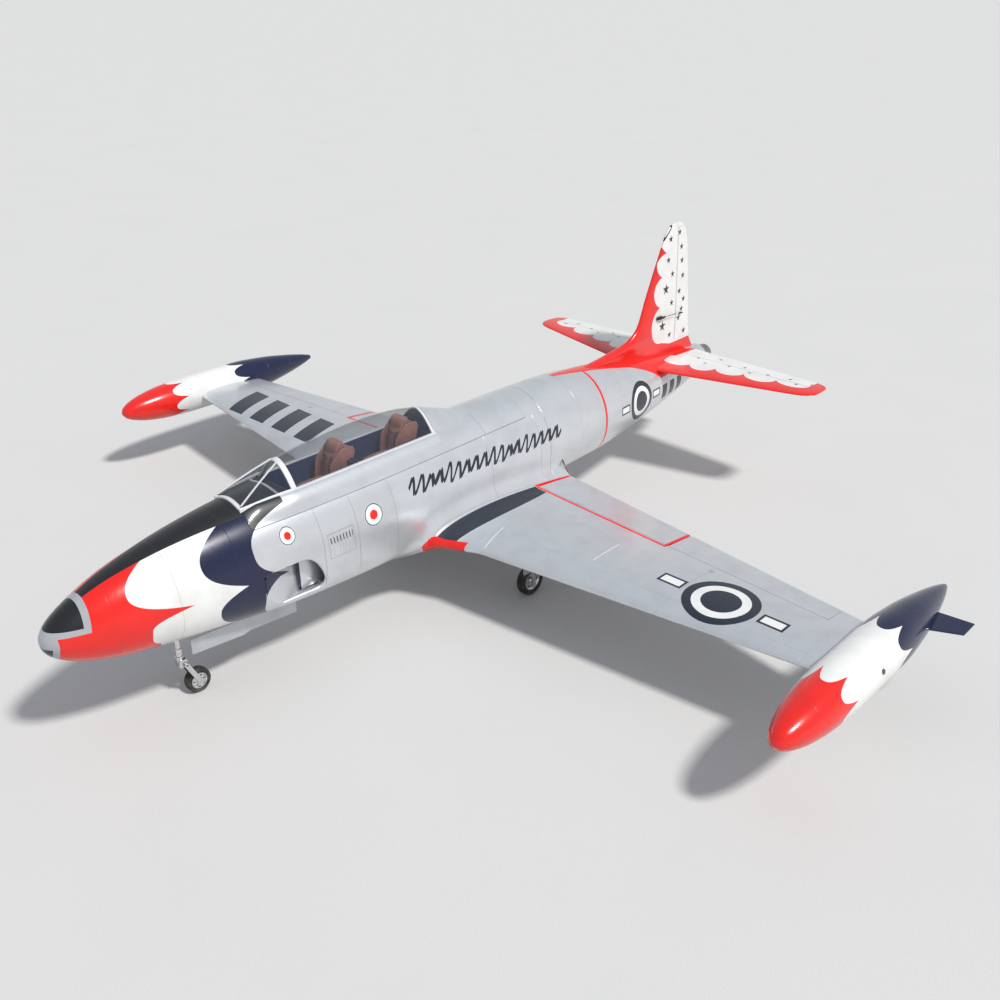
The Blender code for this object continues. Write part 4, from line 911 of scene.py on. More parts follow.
# The cheek intakes: upper and lower edges of the scoop cut in the side, its ramp, the lip round it, and the duct
# behind as (station, inner x, outer x, lower z, upper z)
SCOOP_TOP = [(0.452, 0.2890), (0.478, 0.2945), (0.519, 0.2975), (0.550, 0.2980), (0.568, 0.2940), (0.583, 0.2845),
             (0.595, 0.2700), (0.604, 0.2535), (0.612, 0.2330), (0.6155, 0.2180)]
SCOOP_FOOT = [(0.452, 0.1930), (0.478, 0.1910), (0.520, 0.1900), (0.560, 0.1905), (0.592, 0.1915), (0.605, 0.1950),
              (0.6125, 0.2030), (0.6155, 0.2180)]
SCOOP_RAMP = [(0.452, 0.1205), (0.480, 0.1125), (0.520, 0.0980), (0.560, 0.0870), (0.6155, 0.0810)]
SCOOP_STATIONS = [0.452, 0.465, 0.478, 0.49, 0.505, 0.52, 0.535, 0.55, 0.559, 0.568, 0.576, 0.583, 0.589, 0.595, 0.6,
                  0.604, 0.608, 0.611, 0.6125, 0.6138, 0.6148, 0.6153]
LIP_RADIUS, LINING = 0.005, 0.0012
DUCT = [(0.560, 0.0875, 0.1205, 0.2020, 0.2860), (0.600, 0.0815, 0.1213, 0.2010, 0.2870),
        (0.640, 0.0795, 0.1200, 0.2035, 0.2880), (0.750, 0.0700, 0.1160, 0.2120, 0.2920),
        (0.950, 0.0580, 0.1060, 0.2260, 0.3000), (1.120, 0.0480, 0.1000, 0.2360, 0.3220)]


def rounded_ring(y, x0, x1, z0, z1, power=3.5, count=40):
    angles = 2 * np.pi * np.arange(count) / count
    c, s = np.cos(angles), np.sin(angles)
    return np.stack([(x0 + x1) / 2 + (x1 - x0) / 2 * np.sign(c) * np.abs(c) ** (2 / power), np.full(count, y),
                     (z0 + z1) / 2 + (z1 - z0) / 2 * np.sign(s) * np.abs(s) ** (2 / power)], axis=1)


def scoop_shape(grow=0.0, front=0.0):
    rings = []
    for k, y in enumerate(SCOOP_STATIONS):
        place = y + (front if k == 0 else 0) + (grow if y > 0.61 else 0)
        rings.append(rounded_ring(place, fair(SCOOP_RAMP, y) - grow, 0.17, fair(SCOOP_FOOT, y) - grow,
                                  fair(SCOOP_TOP, y) + grow, 12))
    return loft(rings)


def duct_shape(grow=0.0, end=DUCT[-1][0]):
    return loft([rounded_ring(min(y, end), x0 - grow, x1 + grow, z0 - grow, z1 + grow)
                 for y, x0, x1, z0, z1 in DUCT])


def side_point(y, z):
    half, top, keel, waist, power = body_lines(y)
    height, q = (top - waist, 2.0) if z >= waist else (waist - keel, power)
    return Vector((half * (1 - (abs(z - waist) / height) ** q) ** (1 / q), y, z))


def lip_shape(sides=14):
    """A rounded lip round the scoop's edge, lying flush in the fuselage's side."""
    upper, lower = ([(y, fair(edge, y)) for y in SCOOP_STATIONS[1:]] for edge in (SCOOP_TOP, SCOOP_FOOT))
    path = [side_point(*place) for place in upper + [SCOOP_TOP[-1]] + lower[::-1]]
    thin, reach = 0.0008, 0.002
    rings = []
    for k, point in enumerate(path):
        _, y, z = point
        along = (path[min(k + 1, len(path) - 1)] - path[max(k - 1, 0)]).normalized()
        aft = side_point(y + reach, z) - side_point(y - reach, z)
        rise = side_point(y, z + reach) - side_point(y, z - reach)
        normal = aft.cross(rise).normalized()
        across = normal.cross(along).normalized()
        radius = thin + (LIP_RADIUS - thin) * min(max((y - 0.465) / 0.075, 0.0), 1.0) ** 0.7
        centre = point - normal * (radius - 0.00012)
        rings.append([tuple(centre + (normal * math.cos(a) + across * math.sin(a)) * radius)
                      for a in np.linspace(0, 2 * math.pi, sides, endpoint=False)])
    return loft(rings)


def hull(inset, start, end, step=0.02):
    return loft([body_ring(y, inset) for y in stations(start, end, step)])


def joiner_bore(start, end):
    return bar((start, JOINER_Y, JOINER_Z), (end, JOINER_Y, JOINER_Z), JOINER_BORE, bevel=0.01)


def wheel_well():
    """The port main wheel's well, open downwards through the wing and the fuselage."""
    return block((0.090, MAIN_Y - 0.053, 0.10), (0.306, MAIN_Y + 0.053, 0.206))


NOSE_STATIONS = [0, 0.0008, 0.002, 0.004, 0.007, 0.011, 0.016, 0.022, 0.030, 0.038, 0.048, 0.060]
WING_STATIONS = [0.845, 0.86, 0.87, 0.88, 0.885, 0.89, 0.895, 0.90, 0.905, 0.91, 0.915, 0.92, 0.925, 0.93, 0.935,
                 0.94, 0.945, 0.95, 0.955, 0.96, 0.9605, 0.962, 0.965, 0.97, 0.975, 0.98, 0.99, 1.0, 1.01]


def make_fuselage():
    front = NOSE_STATIONS + stations(0.075, BODY_JOINT - GAP, 0.015, WING_STATIONS)
    outer = [body_ring(y) for y in front]
    inner = [body_ring(y, SKIN) for y in stations(0.03, BODY_JOINT - GAP, 0.03)]
    covers = block((-0.2, HATCH_FRONT, COVER_SEAM_Z), (0.2, TURBINE_COVER_REAR, 0.6))
    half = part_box("nose_wheel_well")[1].x + 0.0004
    cuts = [covers, block((-half, 0.262, 0.10), (half, 0.577, 0.22)), joiner_bore(-0.5, 0.5)]
    for side, _ in SIDES:
        cuts += [on_side(shape, side) for shape in (wheel_well(), scoop_shape(LINING), duct_shape(LINING, 0.75))]
    piece("fuselage_front_skin", loft(outer + inner[::-1]), "airframe", SKIN_PAINT, "skin", ["fuselage_front"],
          cut=cuts)
    rear = stations(BODY_JOINT + GAP, BODY_END, 0.02, (1.41, 1.43, 1.44, 1.445, 1.45, 1.455, 1.458, 1.4605, 1.463))
    outer = [body_ring(y) for y in rear]
    lip = [body_ring(BODY_END + 0.0012, 0.0008), body_ring(BODY_END + 0.0012, SKIN - 0.0006)]
    inner = [body_ring(y, SKIN) for y in stations(BODY_JOINT + GAP, BODY_END, 0.05)]
    piece("fuselage_rear_skin", loft(outer + lip + inner[::-1], closed=True), "airframe", SKIN_PAINT, "skin",
          ["fuselage_rear"])
    body = hull(-GAP / 3, 0.40, 1.2)
    behind = block((0.02, 1.119, 0.15), (0.15, 1.20, 0.40))
    pair("intake_lining", scoop_shape(LINING), "airframe", LINING_PAINT, "panel", "intake_duct",
         add=[duct_shape(LINING)], keep=[body], cut=[scoop_shape(front=-0.01), duct_shape(), behind])
    pair("intake_lip", lip_shape(), "airframe", SKIN_PAINT, "panel", angle=60)
    plate = block((0.0926, 0.5560, 0.1995), (0.0956, 0.6400, 0.2905), 0.0012)
    pair("intake_splitter", plate, "airframe", SPLITTER_PAINT, "panel")


def fairing_height(x, y):
    half = CANOPY_HALF_WIDTH - 0.25 * (y - 1.03)
    base = CANOPY_BASE_Z - 0.018 * (y - 1.03)
    return base + (fair(FAIRING_CREST, y) - base) * (1 - (np.abs(x) / half) ** CANOPY_POWER)


def shoulder_height(x, y):
    """The deck that rises from the fuselage's side to the canopy rails and the windscreen's foot."""
    if y > ARCH[0]:
        edge, level = CANOPY_HALF_WIDTH + 0.0050, CANOPY_BASE_Z - 0.0022
    else:
        share = max((y - SCREEN_FRONT) / (ARCH[0] - SCREEN_FRONT), 0.0)
        edge = screen_lines(share)[2] + 0.0055
        level = SCREEN_LOW - 0.0042 + (CANOPY_BASE_Z - SCREEN_LOW + 0.0020) * share - screen_drop(share) * 0.6
    past = np.maximum(np.abs(x) - edge, 0)
    return level - 0.5 * past - 24.0 * past**2


def smooth_max(a, b, blend):
    near = np.maximum(blend - np.abs(a - b), 0) / blend
    return np.maximum(a, b) + near**2 * blend / 4


def hatch_ring(y, inset):
    """A section of the cockpit hatch, raised to the canopy's deck and the fairing behind it."""
    ring = cover_ring(y, inset)
    if y > HOOP[1]:
        faded = shoulder_height(ring[:, 0], y) - 0.30 * (y - HOOP[1])
        lift = smooth_max(fairing_height(ring[:, 0], y), faded, 0.008)
    else:
        lift = shoulder_height(ring[:, 0], y)
    blend = 0.008 * np.clip((ring[:, 2] - COVER_SEAM_Z) / 0.02, 0.02, 1)
    raised = smooth_max(lift - inset, ring[:, 2], blend) - ring[:, 2]
    front = min(max((y - HATCH_FRONT - GAP) / 0.035, 0.0), 1.0)
    ring[:, 2] += raised * np.clip((ring[:, 2] - COVER_SEAM_Z) / 0.010, 0, 1) * front**0.7
    return ring


def cover_shell(front, rear, ring_at, extra=()):
    return loft([np.concatenate([ring_at(y, 0.0), ring_at(y, SKIN)[::-1]])
                 for y in stations(front, rear, 0.012, extra)])


def make_covers():
    hole = block((-COCKPIT_HALF_WIDTH, COCKPIT_FRONT, 0.35), (COCKPIT_HALF_WIDTH, COCKPIT_REAR, 0.6))
    shell = cover_shell(HATCH_FRONT + GAP, HATCH_REAR - GAP, hatch_ring,
                        (0.4605, 0.4625, 0.465, 0.468, 0.474, 1.0295, 1.0305))
    piece("cockpit_hatch_skin", shell, "canopy_hatch", SKIN_PAINT, "skin", ["cockpit_hatch"], cut=[hole])
    shell = cover_shell(HATCH_REAR + GAP, TURBINE_COVER_REAR - GAP, cover_ring)
    piece("turbine_cover_skin", shell, "turbine_hatch", SKIN_PAINT, "skin", ["turbine_cover"])


# ---------------------------------------------------------------------------------------------- canopy

def canopy_arc(y, inset, base=CANOPY_BASE_Z, steps=41):
    half = CANOPY_HALF_WIDTH - inset
    rise = fair(CANOPY_CREST, y) - base - inset
    across = -np.cos(np.pi * np.arange(steps) / (steps - 1))
    return np.stack([half * across, np.full(steps, y), base + rise * (1 - np.abs(across) ** CANOPY_POWER)], axis=1)


def rounded_band(front, rear, outward, inward, base):
    """A band round the canopy with softened edges."""
    soft = 0.0012
    return loft([np.concatenate([canopy_arc(y, -outward + shrink, base),
                                 canopy_arc(y, inward - shrink / 2, base)[::-1]])
                 for y, shrink in ((front, soft), (front + soft, 0), (rear - soft, 0), (rear, soft))])


def screen_lines(share):
    """The windscreen at a share of its length: station, front panel's and foot's half width, and top."""
    y = SCREEN_FRONT + (ARCH[0] - GAP - SCREEN_FRONT) * share
    panel = SCREEN_HALF_WIDTH + (SCREEN_PANEL_TOP - SCREEN_HALF_WIDTH) * share
    foot = SCREEN_HALF_WIDTH + (CANOPY_HALF_WIDTH - SCREEN_HALF_WIDTH) * share
    top = SCREEN_LOW + 0.0025 + (CANOPY_CREST[0][1] - 0.0055 - SCREEN_LOW) * share - screen_drop(share)
    return y, panel, foot, top


def screen_drop(share):
    """How far the windscreen's front corners dip to meet the round nose."""
    return SCREEN_DIP * max(1 - share, 0.0) ** 2


def screen_arc(share, inset):
    y, panel, foot, top = screen_lines(share)
    foot, top = foot - inset, top - inset
    sill = SCREEN_SILL - screen_drop(share)
    side = [(foot, y, RAIL_FOOT_Z + 0.004)]
    for q in np.linspace(1, 0, 14):
        side.append((panel + (foot - panel) * q, y, sill + (top - sill) * (1 - q**1.5)))
    for q in (0.75, 0.5, 0.25):
        side.append((panel * q, y, top + screen_drop(share) * (1 - q**2)))
    side = np.array(side)
    return np.concatenate([side * np.array([-1, 1, 1]), side[::-1]])


def screen_strut():
    rings = []
    for share in (0.0, 0.25, 0.5, 0.75, 1.02):
        y, panel, _, top = screen_lines(share)
        rings.append([(panel + 0.0030 * math.cos(a), y, top + 0.0010 + 0.0017 * math.sin(a))
                      for a in np.linspace(0, 2 * math.pi, 12, endpoint=False)])
    return loft(rings)


def rail_strip(points, width, height):
    """A rail along points with a rounded top, its foot straight down."""
    rings = []
    for x, y, z in points:
        ring = [(x + width / 2 * math.cos(a), y, z + height * (math.sin(a) - 1) * 0.5)
                for a in np.linspace(0, math.pi, 9)]
        rings.append(ring + [(x - width / 2, y, RAIL_FOOT_Z), (x + width / 2, y, RAIL_FOOT_Z)])
    return loft(rings)


def windscreen_sill():
    """The curved sill under the windscreen's front panel, following the round of the nose."""
    reach = SCREEN_HALF_WIDTH + 0.0048
    half, top, _, waist, _ = body_lines(HATCH_FRONT)
    foot = RAIL_FOOT_Z - 0.004
    rings = []
    for x in np.linspace(-reach, reach, 25):
        z = waist + (top - waist) * math.sqrt(1 - (x / half) ** 2) + 0.0048
        section = ((-0.0065, foot), (-0.0065, z - 0.0012), (-0.0055, z), (-0.0015, z + 0.0006),
                   (0.0035, z - 0.0006), (0.0035, foot))
        rings.append([(x, SCREEN_FRONT + aft, up) for aft, up in section])
    return loft(rings)


def make_canopy():
    body = hull(-GAP, 0.42, 1.20)
    shell = loft([np.concatenate([canopy_arc(y, 0), canopy_arc(y, GLASS)[::-1]])
                  for y in stations(ARCH[1] + GAP, HOOP[0] - GAP, 0.015)])
    piece("canopy_clear", shell, "canopy_hatch", CANOPY_CLEAR, "glazing", ["canopy_glass"])
    screen = loft([np.concatenate([screen_arc(share, 0), screen_arc(share, GLASS)[::-1]])
                   for share in np.linspace(0.03, 1.0, 14)])
    piece("windscreen_clear", screen, "canopy_hatch", SCREEN_CLEAR, "glazing", ["windscreen_glass"], cut=[body])
    look = ("canopy_hatch", FRAME_PAINT, "canopy_frame")
    piece("canopy_arch", rounded_band(*ARCH, 0.0015, 0.004, CANOPY_BASE_Z - 0.003), *look, ["canopy_frame"])
    piece("canopy_hoop", rounded_band(*HOOP, 0.0005, 0.004, CANOPY_BASE_Z - 0.003), *look)
    piece("windscreen_sill", windscreen_sill(), *look, cut=[body])
    rail = [(CANOPY_HALF_WIDTH + 0.0005, y, CANOPY_BASE_Z - GAP) for y in stations(ARCH[0], HOOP[1], 0.04)]
    pair("canopy_rail", rail_strip(rail, 0.0105, 0.0030), *look, cut=[body])
    rail = []
    for share in (-0.05, 0.2, 0.5, 0.8, 1.0):
        y, _, foot, _ = screen_lines(share)
        rail.append((foot + 0.0030, y, SCREEN_LOW + 0.0004 - screen_drop(max(share, 0.0))))
    pair("windscreen_rail", rail_strip(rail, 0.0050, 0.0024), *look, cut=[body])
    pair("windscreen_strut", screen_strut(), *look)


# --------------------------------------------------------------------------------------------- cockpit

def pad(low, high, puff, lean=0.0, channels=0):
    """A stuffed pad: crowned faces, sides that pull in between the corners, and sewn channels across it."""
    low, high = np.array(low), np.array(high)
    bm = bmesh.new()
    bmesh.ops.create_cube(bm, size=2)
    bmesh.ops.subdivide_edges(bm, edges=bm.edges[:], cuts=18, use_grid_fill=True)
    points, faces = taken(bm)
    flat = int(np.argmin(high - low))
    others = [k for k in range(3) if k != flat]
    a, b = points[:, others[0]].copy(), points[:, others[1]].copy()
    crown = (1 - np.abs(a) ** 2.4) * (1 - np.abs(b) ** 2.4)
    groove = 0
    if channels:
        groove = 0.22 * np.exp(-((np.modf((b + 1) / 2 * channels)[0] - 0.5) / 0.10) ** 2) * crown
    points[:, flat] *= 0.55 + 0.45 * crown ** 0.6 - groove
    round_off = 1 - 0.06 * (np.abs(b) ** 6)
    points[:, others[0]] *= round_off * (1 - 0.025 * (1 - b**2) * (np.abs(a) > 0.9))
    points[:, others[1]] *= 1 - 0.06 * np.abs(a) ** 6
    points[:, flat] *= 1 + puff
    size, centre = (high - low) / 2, (high + low) / 2
    points = points * size + centre
    points[:, 1] += lean * (points[:, 2] - centre[2])
    return points, faces


# Instruments on a panel: (x, z, radius)
DIALS = [(-0.030, 0.412, 0.0062), (-0.012, 0.412, 0.0062), (0.006, 0.412, 0.0062), (0.024, 0.412, 0.0062),
         (-0.030, 0.396, 0.0055), (-0.012, 0.395, 0.0070), (0.008, 0.395, 0.0070), (0.026, 0.396, 0.0055)]


def dial(x, y, z, radius):
    """An instrument with a raised bezel, facing aft."""
    profile = [(0, radius * 1.12), (0.0016, radius * 1.08), (0.0018, radius * 0.95), (0.0008, radius * 0.86),
               (0.0008, radius * 0.05), (-0.0010, radius * 0.05), (-0.0010, radius * 1.12)]
    return lathe(profile, (x, y, z), "Y", 24)


def seat_bucket(y):
    """The seat's moulded shell: a box under the cushion, a leaning back and two winged sides."""
    under = block((-0.0300, y - 0.080, 0.3345), (0.0300, y + 0.022, 0.3730), 0.0025)
    back = [[(x, y + 0.0200, 0.370), (x, y + 0.0380, 0.370), (x, y + 0.0600, 0.462), (x, y + 0.0420, 0.466)]
            for x in (-0.0260, 0.0260)]
    outline = [(-0.014, 0.374), (0.036, 0.372), (0.064, 0.454), (0.058, 0.467), (0.024, 0.470), (-0.010, 0.440),
               (-0.018, 0.400)]
    wings = []
    for side in (1, -1):
        rings = []
        for x, shrink in ((0.0250, 0.97), (0.0262, 1.0), (0.0303, 1.0), (0.0315, 0.97)):
            rings.append([(side * x, y + 0.020 + (a - 0.020) * shrink, 0.425 + (z - 0.425) * shrink)
                          for a, z in outline])
        wings.append(loft(rings))
    return merged(under, loft(back), *wings)


def harness_strap(y):
    """One shoulder strap, lying on the seat's leaning back."""
    half, thick = 0.0035, 0.0009
    rings = []
    for t in np.linspace(0, 1, 14):
        x, z = 0.012 + 0.003 * t, 0.450 - 0.046 * t
        front = y + 0.0115 + 0.26 * (z - 0.425) - 0.0112 - 0.003 * math.sin(math.pi * t)
        rings.append([(x - half, front, z), (x + half, front, z), (x + half, front - thick, z),
                      (x - half, front - thick, z)])
    return loft(rings)


def side_console(y):
    """A box beside the seat with four knobs on it."""
    box = block((0.0335, y - 0.090, 0.3330), (0.0532, y + 0.010, 0.3760), 0.0015)
    knobs = [bar((0.043, place, 0.375), (0.043, place, 0.380), 0.0028)
             for place in (y - 0.075 + 0.02 * k for k in range(4))]
    return merged(box, *knobs)


def make_cockpit():
    tub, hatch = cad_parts["cockpit_tub"], "canopy_hatch"
    tub.data.materials.clear()
    tub.data.materials.append(TUB_PAINT)
    for label, y, dash_y in (("front", 0.735, 0.5785), ("rear", 0.940, 0.788)):
        base = pad((-0.0245, y - 0.083, 0.3720), (0.0245, y + 0.004, 0.4010), 0.05, channels=4)
        back = pad((-0.0245, y + 0.0015, 0.3900), (0.0245, y + 0.0215, 0.4600), 0.05, lean=0.26, channels=5)
        rest = pad((-0.0225, y + 0.0130, 0.4540), (0.0225, y + 0.0410, 0.4825), 0.04, lean=0.15)
        for part, shape, fill, stands_for in (("cushion", base, 0.7, ["seat_" + label]), ("back", back, 0.7, []),
                                              ("headrest", rest, 0.8, [])):
            soft = piece(f"seat_{part}_{label}", shape, hatch, SEAT_LEATHER, "seat", stands_for, angle=60)
        piece("seat_bucket_" + label, seat_bucket(y), hatch, SEAT_SHELL, "seat", angle=40)
        pair("harness_" + label, harness_strap(y), hatch, STRAP_CLOTH, "seat")
        coaming = lathe([(-0.0540, 0.0015), (-0.0535, 0.0100), (0.0535, 0.0100), (0.0540, 0.0015)],
                        (0, dash_y - 0.004, 0.4300), "X", 32, closed=False)
        piece("panel_coaming_" + label, coaming, hatch, DASH_BLACK, "cockpit")
        dials = [dial(x, dash_y, z, radius) for x, z, radius in DIALS]
        piece("panel_dials_" + label, merged(*dials), hatch, DIAL_PAINT, "cockpit")
        stick = merged(bar((0, y - 0.092, 0.333), (0, y - 0.099, 0.396), 0.0022),
                       bar((0, y - 0.099, 0.394), (0, y - 0.101, 0.412), 0.0040))
        piece("control_stick_" + label, stick, hatch, PLASTIC, "cockpit")
        pair("side_console_" + label, side_console(y), hatch, DASH_BLACK, "cockpit")


def make_bulkhead():
    """The wall behind the rear seat, filling the canopy's rear hoop, with a stiffening rim."""
    rings = []
    for y, inset in ((1.0262, 0.0052), (1.0266, 0.0046), (1.0282, 0.0046), (1.0286, 0.0052)):
        arc = canopy_arc(1.030, inset)
        arc[:, 1] = y
        foot = np.array([(arc[-1, 0], y, 0.412), (arc[0, 0], y, 0.412)])
        rings.append(np.concatenate([arc, foot]))
    panel = merged(loft(rings), bar((-0.030, 1.0258, 0.4600), (0.030, 1.0258, 0.4600), 0.0012, 12),
                   block((-0.012, 1.0238, 0.430), (0.012, 1.0270, 0.450), 0.0008))
    piece("cockpit_bulkhead", panel, "canopy_hatch", TUB_PAINT, "cockpit")


# ------------------------------------------------------------------------------------------------- wing

def airfoil_ring(x, lead, trail, plane, ratio, camber=0.12, steps=34):
    """A closed section: upper side from the trailing edge forward, then the lower side."""
    chord = trail - lead
    s = 0.5 - 0.5 * np.cos(np.pi * np.arange(steps) / (steps - 1))
    half = airfoil_half(s, ratio, chord)
    lift = camber * ratio * chord * 2 * s * (1 - s)
    rows = []
    for face in (1, -1):
        row = np.stack([np.full(steps, x), lead + chord * s, plane + lift + face * half], axis=1)
        rows.append(row[::-1] if face > 0 else row[1:])
    return np.concatenate(rows)


def wing_lead(x):
    return line(WING_LEAD, x) - float(np.interp(x, FILLET_X, FILLET_REACH))


def wing_ring(x, filleted=False):
    """A wing section. Next to the fuselage its surfaces rise a little into the fillet."""
    ring = airfoil_ring(x, wing_lead(x), line(WING_TRAIL, x), line(WING_PLANE, x), WING_THICKNESS)
    if filleted and x < FILLET_END_X:
        upper = np.arange(len(ring)) < (len(ring) + 1) // 2
        for k, (_, y, z) in enumerate(ring):
            apart = float(body_distance(np.array([x]), y, np.array([z]), 0.0)[0])
            rise = 0.0
            for _ in range(4):
                rise = max(FILLET_BLEND - apart + rise, 0.0) ** 2 / FILLET_BLEND / 4
            ring[k, 2] += rise * (1 if upper[k] else -1) * min(1.0, abs(y - ring[0, 1]) / 0.05)
    return ring


def wing_height(x, y, face):
    ring = wing_ring(x)
    steps = (len(ring) + 1) // 2
    row = ring[:steps][::-1] if face > 0 else ring[steps - 1:]
    return float(np.interp(y, row[:, 1], row[:, 2]))


def hinge_block(span, hinge, gap, pivot=None, lean=0.0):
    """Everything behind a hinge line; with a lean its front slopes aft below the pivot's height."""
    rings = []
    for x in span:
        y = line(hinge, x) + gap
        z = 0.05 if pivot is None else pivot(x)
        foot = [] if pivot is None else [(x, y + lean * (z - 0.05), 0.05)]
        rings.append([(x, y, 0.45), (x, 2.6, 0.45), (x, 2.6, 0.05), *foot, (x, y, z)])
    return loft(rings)


def tank_rings(grow=0.0, sides=56):
    rings = []
    lengths = [0.8095, 0.8105, 0.8125, 0.816] + stations(0.82, 1.545, 0.015) + [1.552, 1.558, 1.5605, 1.561]
    for y in lengths:
        radius = (0.0012 if y < 0.8100 else 0.003 if y > 1.5604 else fair(TANK_PROFILE, y)) + grow
        angles = 2 * np.pi * np.arange(sides) / sides
        rings.append(np.stack([TANK_X + radius * np.cos(angles), np.full(sides, max(y, 0.8100)),
                               TANK_Z + radius * np.sin(angles)], axis=1))
    return rings


def make_wings():
    spans = list(np.linspace(WING_ROOT_X + GAP, FILLET_END_X, 9)) + list(np.linspace(0.222, 0.30, 7))
    panel = loft([wing_ring(x, True) for x in spans + list(np.linspace(0.34, WING_TIP_X, 16))])
    open_span = (FLAP_SPAN[0] - 0.0012, AILERON_SPAN[1] + 0.0012)
    cuts = [loft(tank_rings(GAP)), hinge_block(open_span, HINGE_LINE, -0.0012),
            wheel_well(), block((0.262, 1.117, 0.10), (0.342, 1.177, 0.2075)), joiner_bore(-0.1, 0.422)]
    for x, y in ((0.800, 1.200), (0.446, 1.240)):
        low = wing_height(x, y, -1)
        cuts.append(block((x - 0.0165, y - 0.0085, low - 0.02), (x + 0.0165, y + 0.0085, low + 0.0125)))
    pair("wing_skin", panel, "airframe", WING_PAINT, "sheeted_core", "wing", cut=cuts)
    surfaces = (("flap", FLAP_SPAN, lambda x: wing_height(x, line(HINGE_LINE, x), -1) + 0.0005, 0.0),
                ("aileron", AILERON_SPAN, lambda x: wing_height(x, line(HINGE_LINE, x), 1) - 0.0005,
                 math.tan(math.radians(24))))
    for name, span, pivot, lean in surfaces:
        middle = (span[0] + span[1]) / 2
        shape = loft([wing_ring(x) for x in (span[0] - 0.02, middle, span[1] + 0.02)])
        keep = hinge_block((span[0], middle, span[1]), HINGE_LINE, 0.0, pivot, lean)
        pair(name + "_skin", shape, "{}_" + name, WING_PAINT, "sheeted_core", name, keep=[keep])
    outline = np.array([(1.205, 1.350), (1.297, 1.394), (1.297, 1.450), (1.190, 1.440)])
    middle = outline.mean(axis=0)
    plate = [[(*(point + (middle - point) * shrink / 0.04), TANK_Z + z) for point in outline]
             for z, shrink in ((-0.0022, 0.0015), (-0.0012, 0), (0.0012, 0), (0.0022, 0.0015))]
    pair("tip_tank_shell", loft(tank_rings()), "airframe", TANK_PAINT, "tank_shell", "tip_tank")
    pair("tip_tank_fin", loft(plate), "airframe", TANK_PAINT, "tank_shell")
    centre = (TANK_X + 0.0550, 1.130, TANK_Z + 0.0195)
    cap = turned_about(lathe([(0, 0.0005), (0, 0.0062), (0.0014, 0.0058), (0.0022, 0.0045), (0.0022, 0.0005)],
                             centre, "X", 24, closed=False), centre, "Y", -20)
    pair("tank_filler_cap", cap, "airframe", DARK_METAL, "tank_shell")
    spot = (0.765, 1.243)
    mark = lathe([(0, 0.0005), (0, 0.0090), (0.0007, 0.0086), (0.0012, 0.0070), (0.0012, 0.0005)],
                 (*spot, wing_height(*spot, 1) - 0.0006), "Z", 32, closed=False)
    pair("wing_hatch_cap", mark, "airframe", DOOR_GREY, "sheeted_core")


# ------------------------------------------------------------------------------------------------- tail

def fin_ring(z, steps=30):
    lead, trail, half = (fair(points, z) for points in (FIN_LEAD, FIN_TRAIL, FIN_HALF_THICKNESS))
    s = 0.5 - 0.5 * np.cos(np.pi * np.arange(steps) / (steps - 1))
    thick = half * (4.1 * (np.sqrt(s) - s) * (1 - 0.35 * s) + 0.12 * s)
    port = np.stack([thick, lead + (trail - lead) * s, np.full(steps, z)], axis=1)
    return np.concatenate([port, port[-1:0:-1] * np.array([-1, 1, 1])])


def rudder_block(gap, nose):
    (z0, y0), (z1, y1) = RUDDER_HINGE
    slope = (y1 - y0) / (z1 - z0)
    rings = []
    for z in (z0 - gap, z1 + gap):
        y = y0 + slope * (z - z0) - gap * 3
        rings.append([(0, y, z), (0.05, y + nose * 0.05, z), (0.05, 2.40, z), (-0.05, 2.40, z),
                      (-0.05, y + nose * 0.05, z)])
    return loft(rings)


def tail_ring(x):
    ring = airfoil_ring(x, line(TAIL_LEAD, x), line(TAIL_TRAIL, x), TAIL_Z, 0.075, camber=0.0, steps=28)
    past = np.clip((x - 0.480) / (TAIL_TIP_X - 0.480), 0, 1)
    pinch = 0.032 * (1 - math.sqrt(max(1 - past**2.2, 0.0)))
    middle = ring[:, 1].mean()
    reach = np.abs(ring[:, 1] - middle).max()
    ring[:, 1] = middle + (ring[:, 1] - middle) * (1 - pinch / reach)
    ring[:, 2] = TAIL_Z + (ring[:, 2] - TAIL_Z) * (1 - 0.8 * pinch / reach)
    return ring


